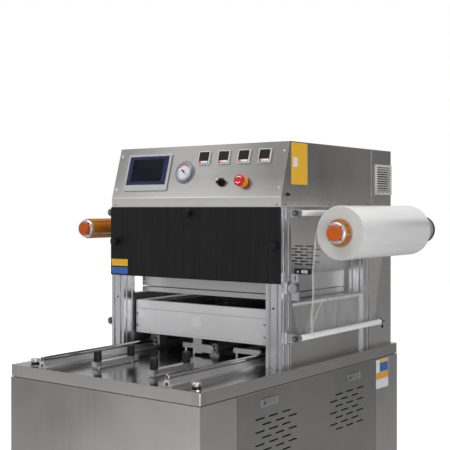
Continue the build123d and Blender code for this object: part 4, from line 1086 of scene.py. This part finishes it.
# Film web: clear film, drawn from the roll down round the lower roller and up over the side
# panel. It is pulled tight along its run, so it wrinkles in long creases, and its front edge
# and two creases catch the light, which is painted as lines of more opaque pale film.
ROLL = (REEL_SIDE, REEL_HEIGHT, 88.1)
ROLLER = (412, 98, 11.1)
WEB_BACK = 1003
WEB_EDGE = ((98, 521), (115, 525), (160, 534), (205, 546), (255, 539), (321, 526), (405, 519))
WEB_REST, WEB_END = (372, 207), (312, 207)
WEB_COLUMNS = 90
RUN_STEPS, WRAP_STEPS, RISE_STEPS, REST_STEPS = 40, 10, 14, 6
drop = (ROLL[0] - ROLLER[0], ROLL[1] - ROLLER[1])
cross = math.acos((ROLL[2] + ROLLER[2]) / math.hypot(*drop))
roll_turn = math.atan2(drop[1], drop[0]) + math.pi - cross
rise = (WEB_REST[0] - ROLLER[0], WEB_REST[1] - ROLLER[1])
leave_turn = math.atan2(rise[1], rise[0]) + math.acos(ROLLER[2] / math.hypot(*rise)) - 2 * math.pi


def on_round(centre, turn):
    """A point of the film where it lies round the roll or the roller, seen from the front."""
    return (centre[0] + centre[2] * math.cos(turn), centre[1] + centre[2] * math.sin(turn))


def along(start_point, end_point, steps):
    """Evenly spaced points on a straight run, without its end."""
    return [
        tuple(a + (b - a) * step / steps for a, b in zip(start_point, end_point)) for step in range(steps)
    ]


def web_front(row, z):
    """How far back the film's front edge is: it necks in between the roll and the roller."""
    if row > RUN_STEPS:
        return WEB_EDGE[0][1] + 4 * min(1, (row - RUN_STEPS) / 24)
    if z > WEB_EDGE[-1][0]:
        return WEB_EDGE[-1][1]
    for (low_z, low_y), (high_z, high_y) in zip(WEB_EDGE, WEB_EDGE[1:]):
        if z <= high_z:
            return low_y + (high_y - low_y) * max(0, z - low_z) / (high_z - low_z)


def freedom(row):
    """How far a row of the film is from what it lies on, from 0 on a roller to 1 between two."""
    if row < RUN_STEPS:
        return min(row, RUN_STEPS - row) / (RUN_STEPS / 2)
    first = RUN_STEPS + WRAP_STEPS
    return max(0, min(row - first, first + RISE_STEPS - row)) / (RISE_STEPS / 2)


wrap_turns = [
    roll_turn - math.pi + (leave_turn - roll_turn + math.pi) * step / WRAP_STEPS for step in range(WRAP_STEPS)
]
web_line = (
    along(on_round(ROLL, roll_turn), on_round(ROLLER, roll_turn - math.pi), RUN_STEPS)
    + [on_round(ROLLER, turn) for turn in wrap_turns]
    + along(on_round(ROLLER, leave_turn), WEB_REST, RISE_STEPS)
    + along(WEB_REST, WEB_END, REST_STEPS)
    + [WEB_END]
)
bpy.ops.object.select_all(action="DESELECT")
bpy.ops.mesh.primitive_grid_add(x_subdivisions=len(web_line) - 1, y_subdivisions=WEB_COLUMNS, size=1)
web = bpy.context.object
for point in web.data.vertices:
    row = round((point.co.x + 0.5) * (len(web_line) - 1))
    x, z = web_line[row]
    depth = WEB_BACK + (point.co.y - 0.5) * (WEB_BACK - web_front(row, z))
    crease = (
        1.1 * math.sin(depth / 23 + 0.012 * z)
        + 0.8 * math.sin(depth / 9.5 - 0.02 * z + 1.7)
        + 0.5 * math.sin(depth / 4.7 + 0.03 * z)
    )
    out = crease * min(1, freedom(row) * 1.6)
    point.co = spot(x - out * math.sin(cross), depth, z + out * 0.2)
web_side = web.modifiers.new("film", "SOLIDIFY")
web_side.thickness = 0.00012
bpy.ops.object.modifier_apply(modifier=web_side.name)
clear, start = new_finish("clear_film", {"IOR": 1.45, "Roughness": 0.16, "Specular IOR Level": 0.3})
x, y, z = axes(start)


def line_up(stops, width):
    """A line up the film through (height, depth) stops in millimetres, on its outer run alone."""
    low, high = stops[0][0], stops[-1][0]
    near, far = min(depth for height, depth in stops), max(depth for height, depth in stops)
    up = (z - spot(0, 0, low).z) / ((high - low) / 1000)
    ramp = [((height - low) / (high - low), (depth - near) / (far - near)) for height, depth in stops]
    shift = start.node("ShaderNodeValToRGB", {"stops": ramp}, {0: up}) * ((far - near) / 1000)
    outer = (x > spot(408, 0, 0).x) * between(z, spot(0, 0, low).z, spot(0, 0, high).z)
    return (abs(y - (shift + spot(0, near, 0).y)) < width / 2000) * outer


streak = grain(start, (4, 55, 2.5), 3.0)
fine = grain(start, (4, 190, 6), 3.0)
front_edge_highlight = line_up(((98, 571), (110, 567), (155, 554), (205, 549), (255, 543), (321, 530), (440, 521)), 14)
crease_highlight = line_up(((98, 545), (224, 612)), 5)
# The film's own haze, with streaks in it that are painted sheen.
haze_and_sheen = 0.06 + (streak - 0.5) * 0.12 + (fine - 0.5) * 0.08
haze_and_sheen = smaller(greater(haze_and_sheen, 0.03), 0.2) * (0.3 + (z > spot(0, 0, 112).z) * 0.7)
over_edge = (z > spot(0, 0, 198).z) * (x < spot(386, 0, 0).x)
# Painted highlights: the lines along the front edge and a crease are made more opaque.
painted_highlight_lines = greater(front_edge_highlight * 0.25, crease_highlight * 0.26)
feed(clear, "Base Color", tones(start, streak, (0.72, 0.72, 0.73), (0.88, 0.88, 0.89)))
feed(clear, "Alpha", greater(painted_highlight_lines, greater(haze_and_sheen, over_edge * 0.34)))
take_finish(web, "film_web_sheet", clear, "machine", 60)
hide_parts("film_web")
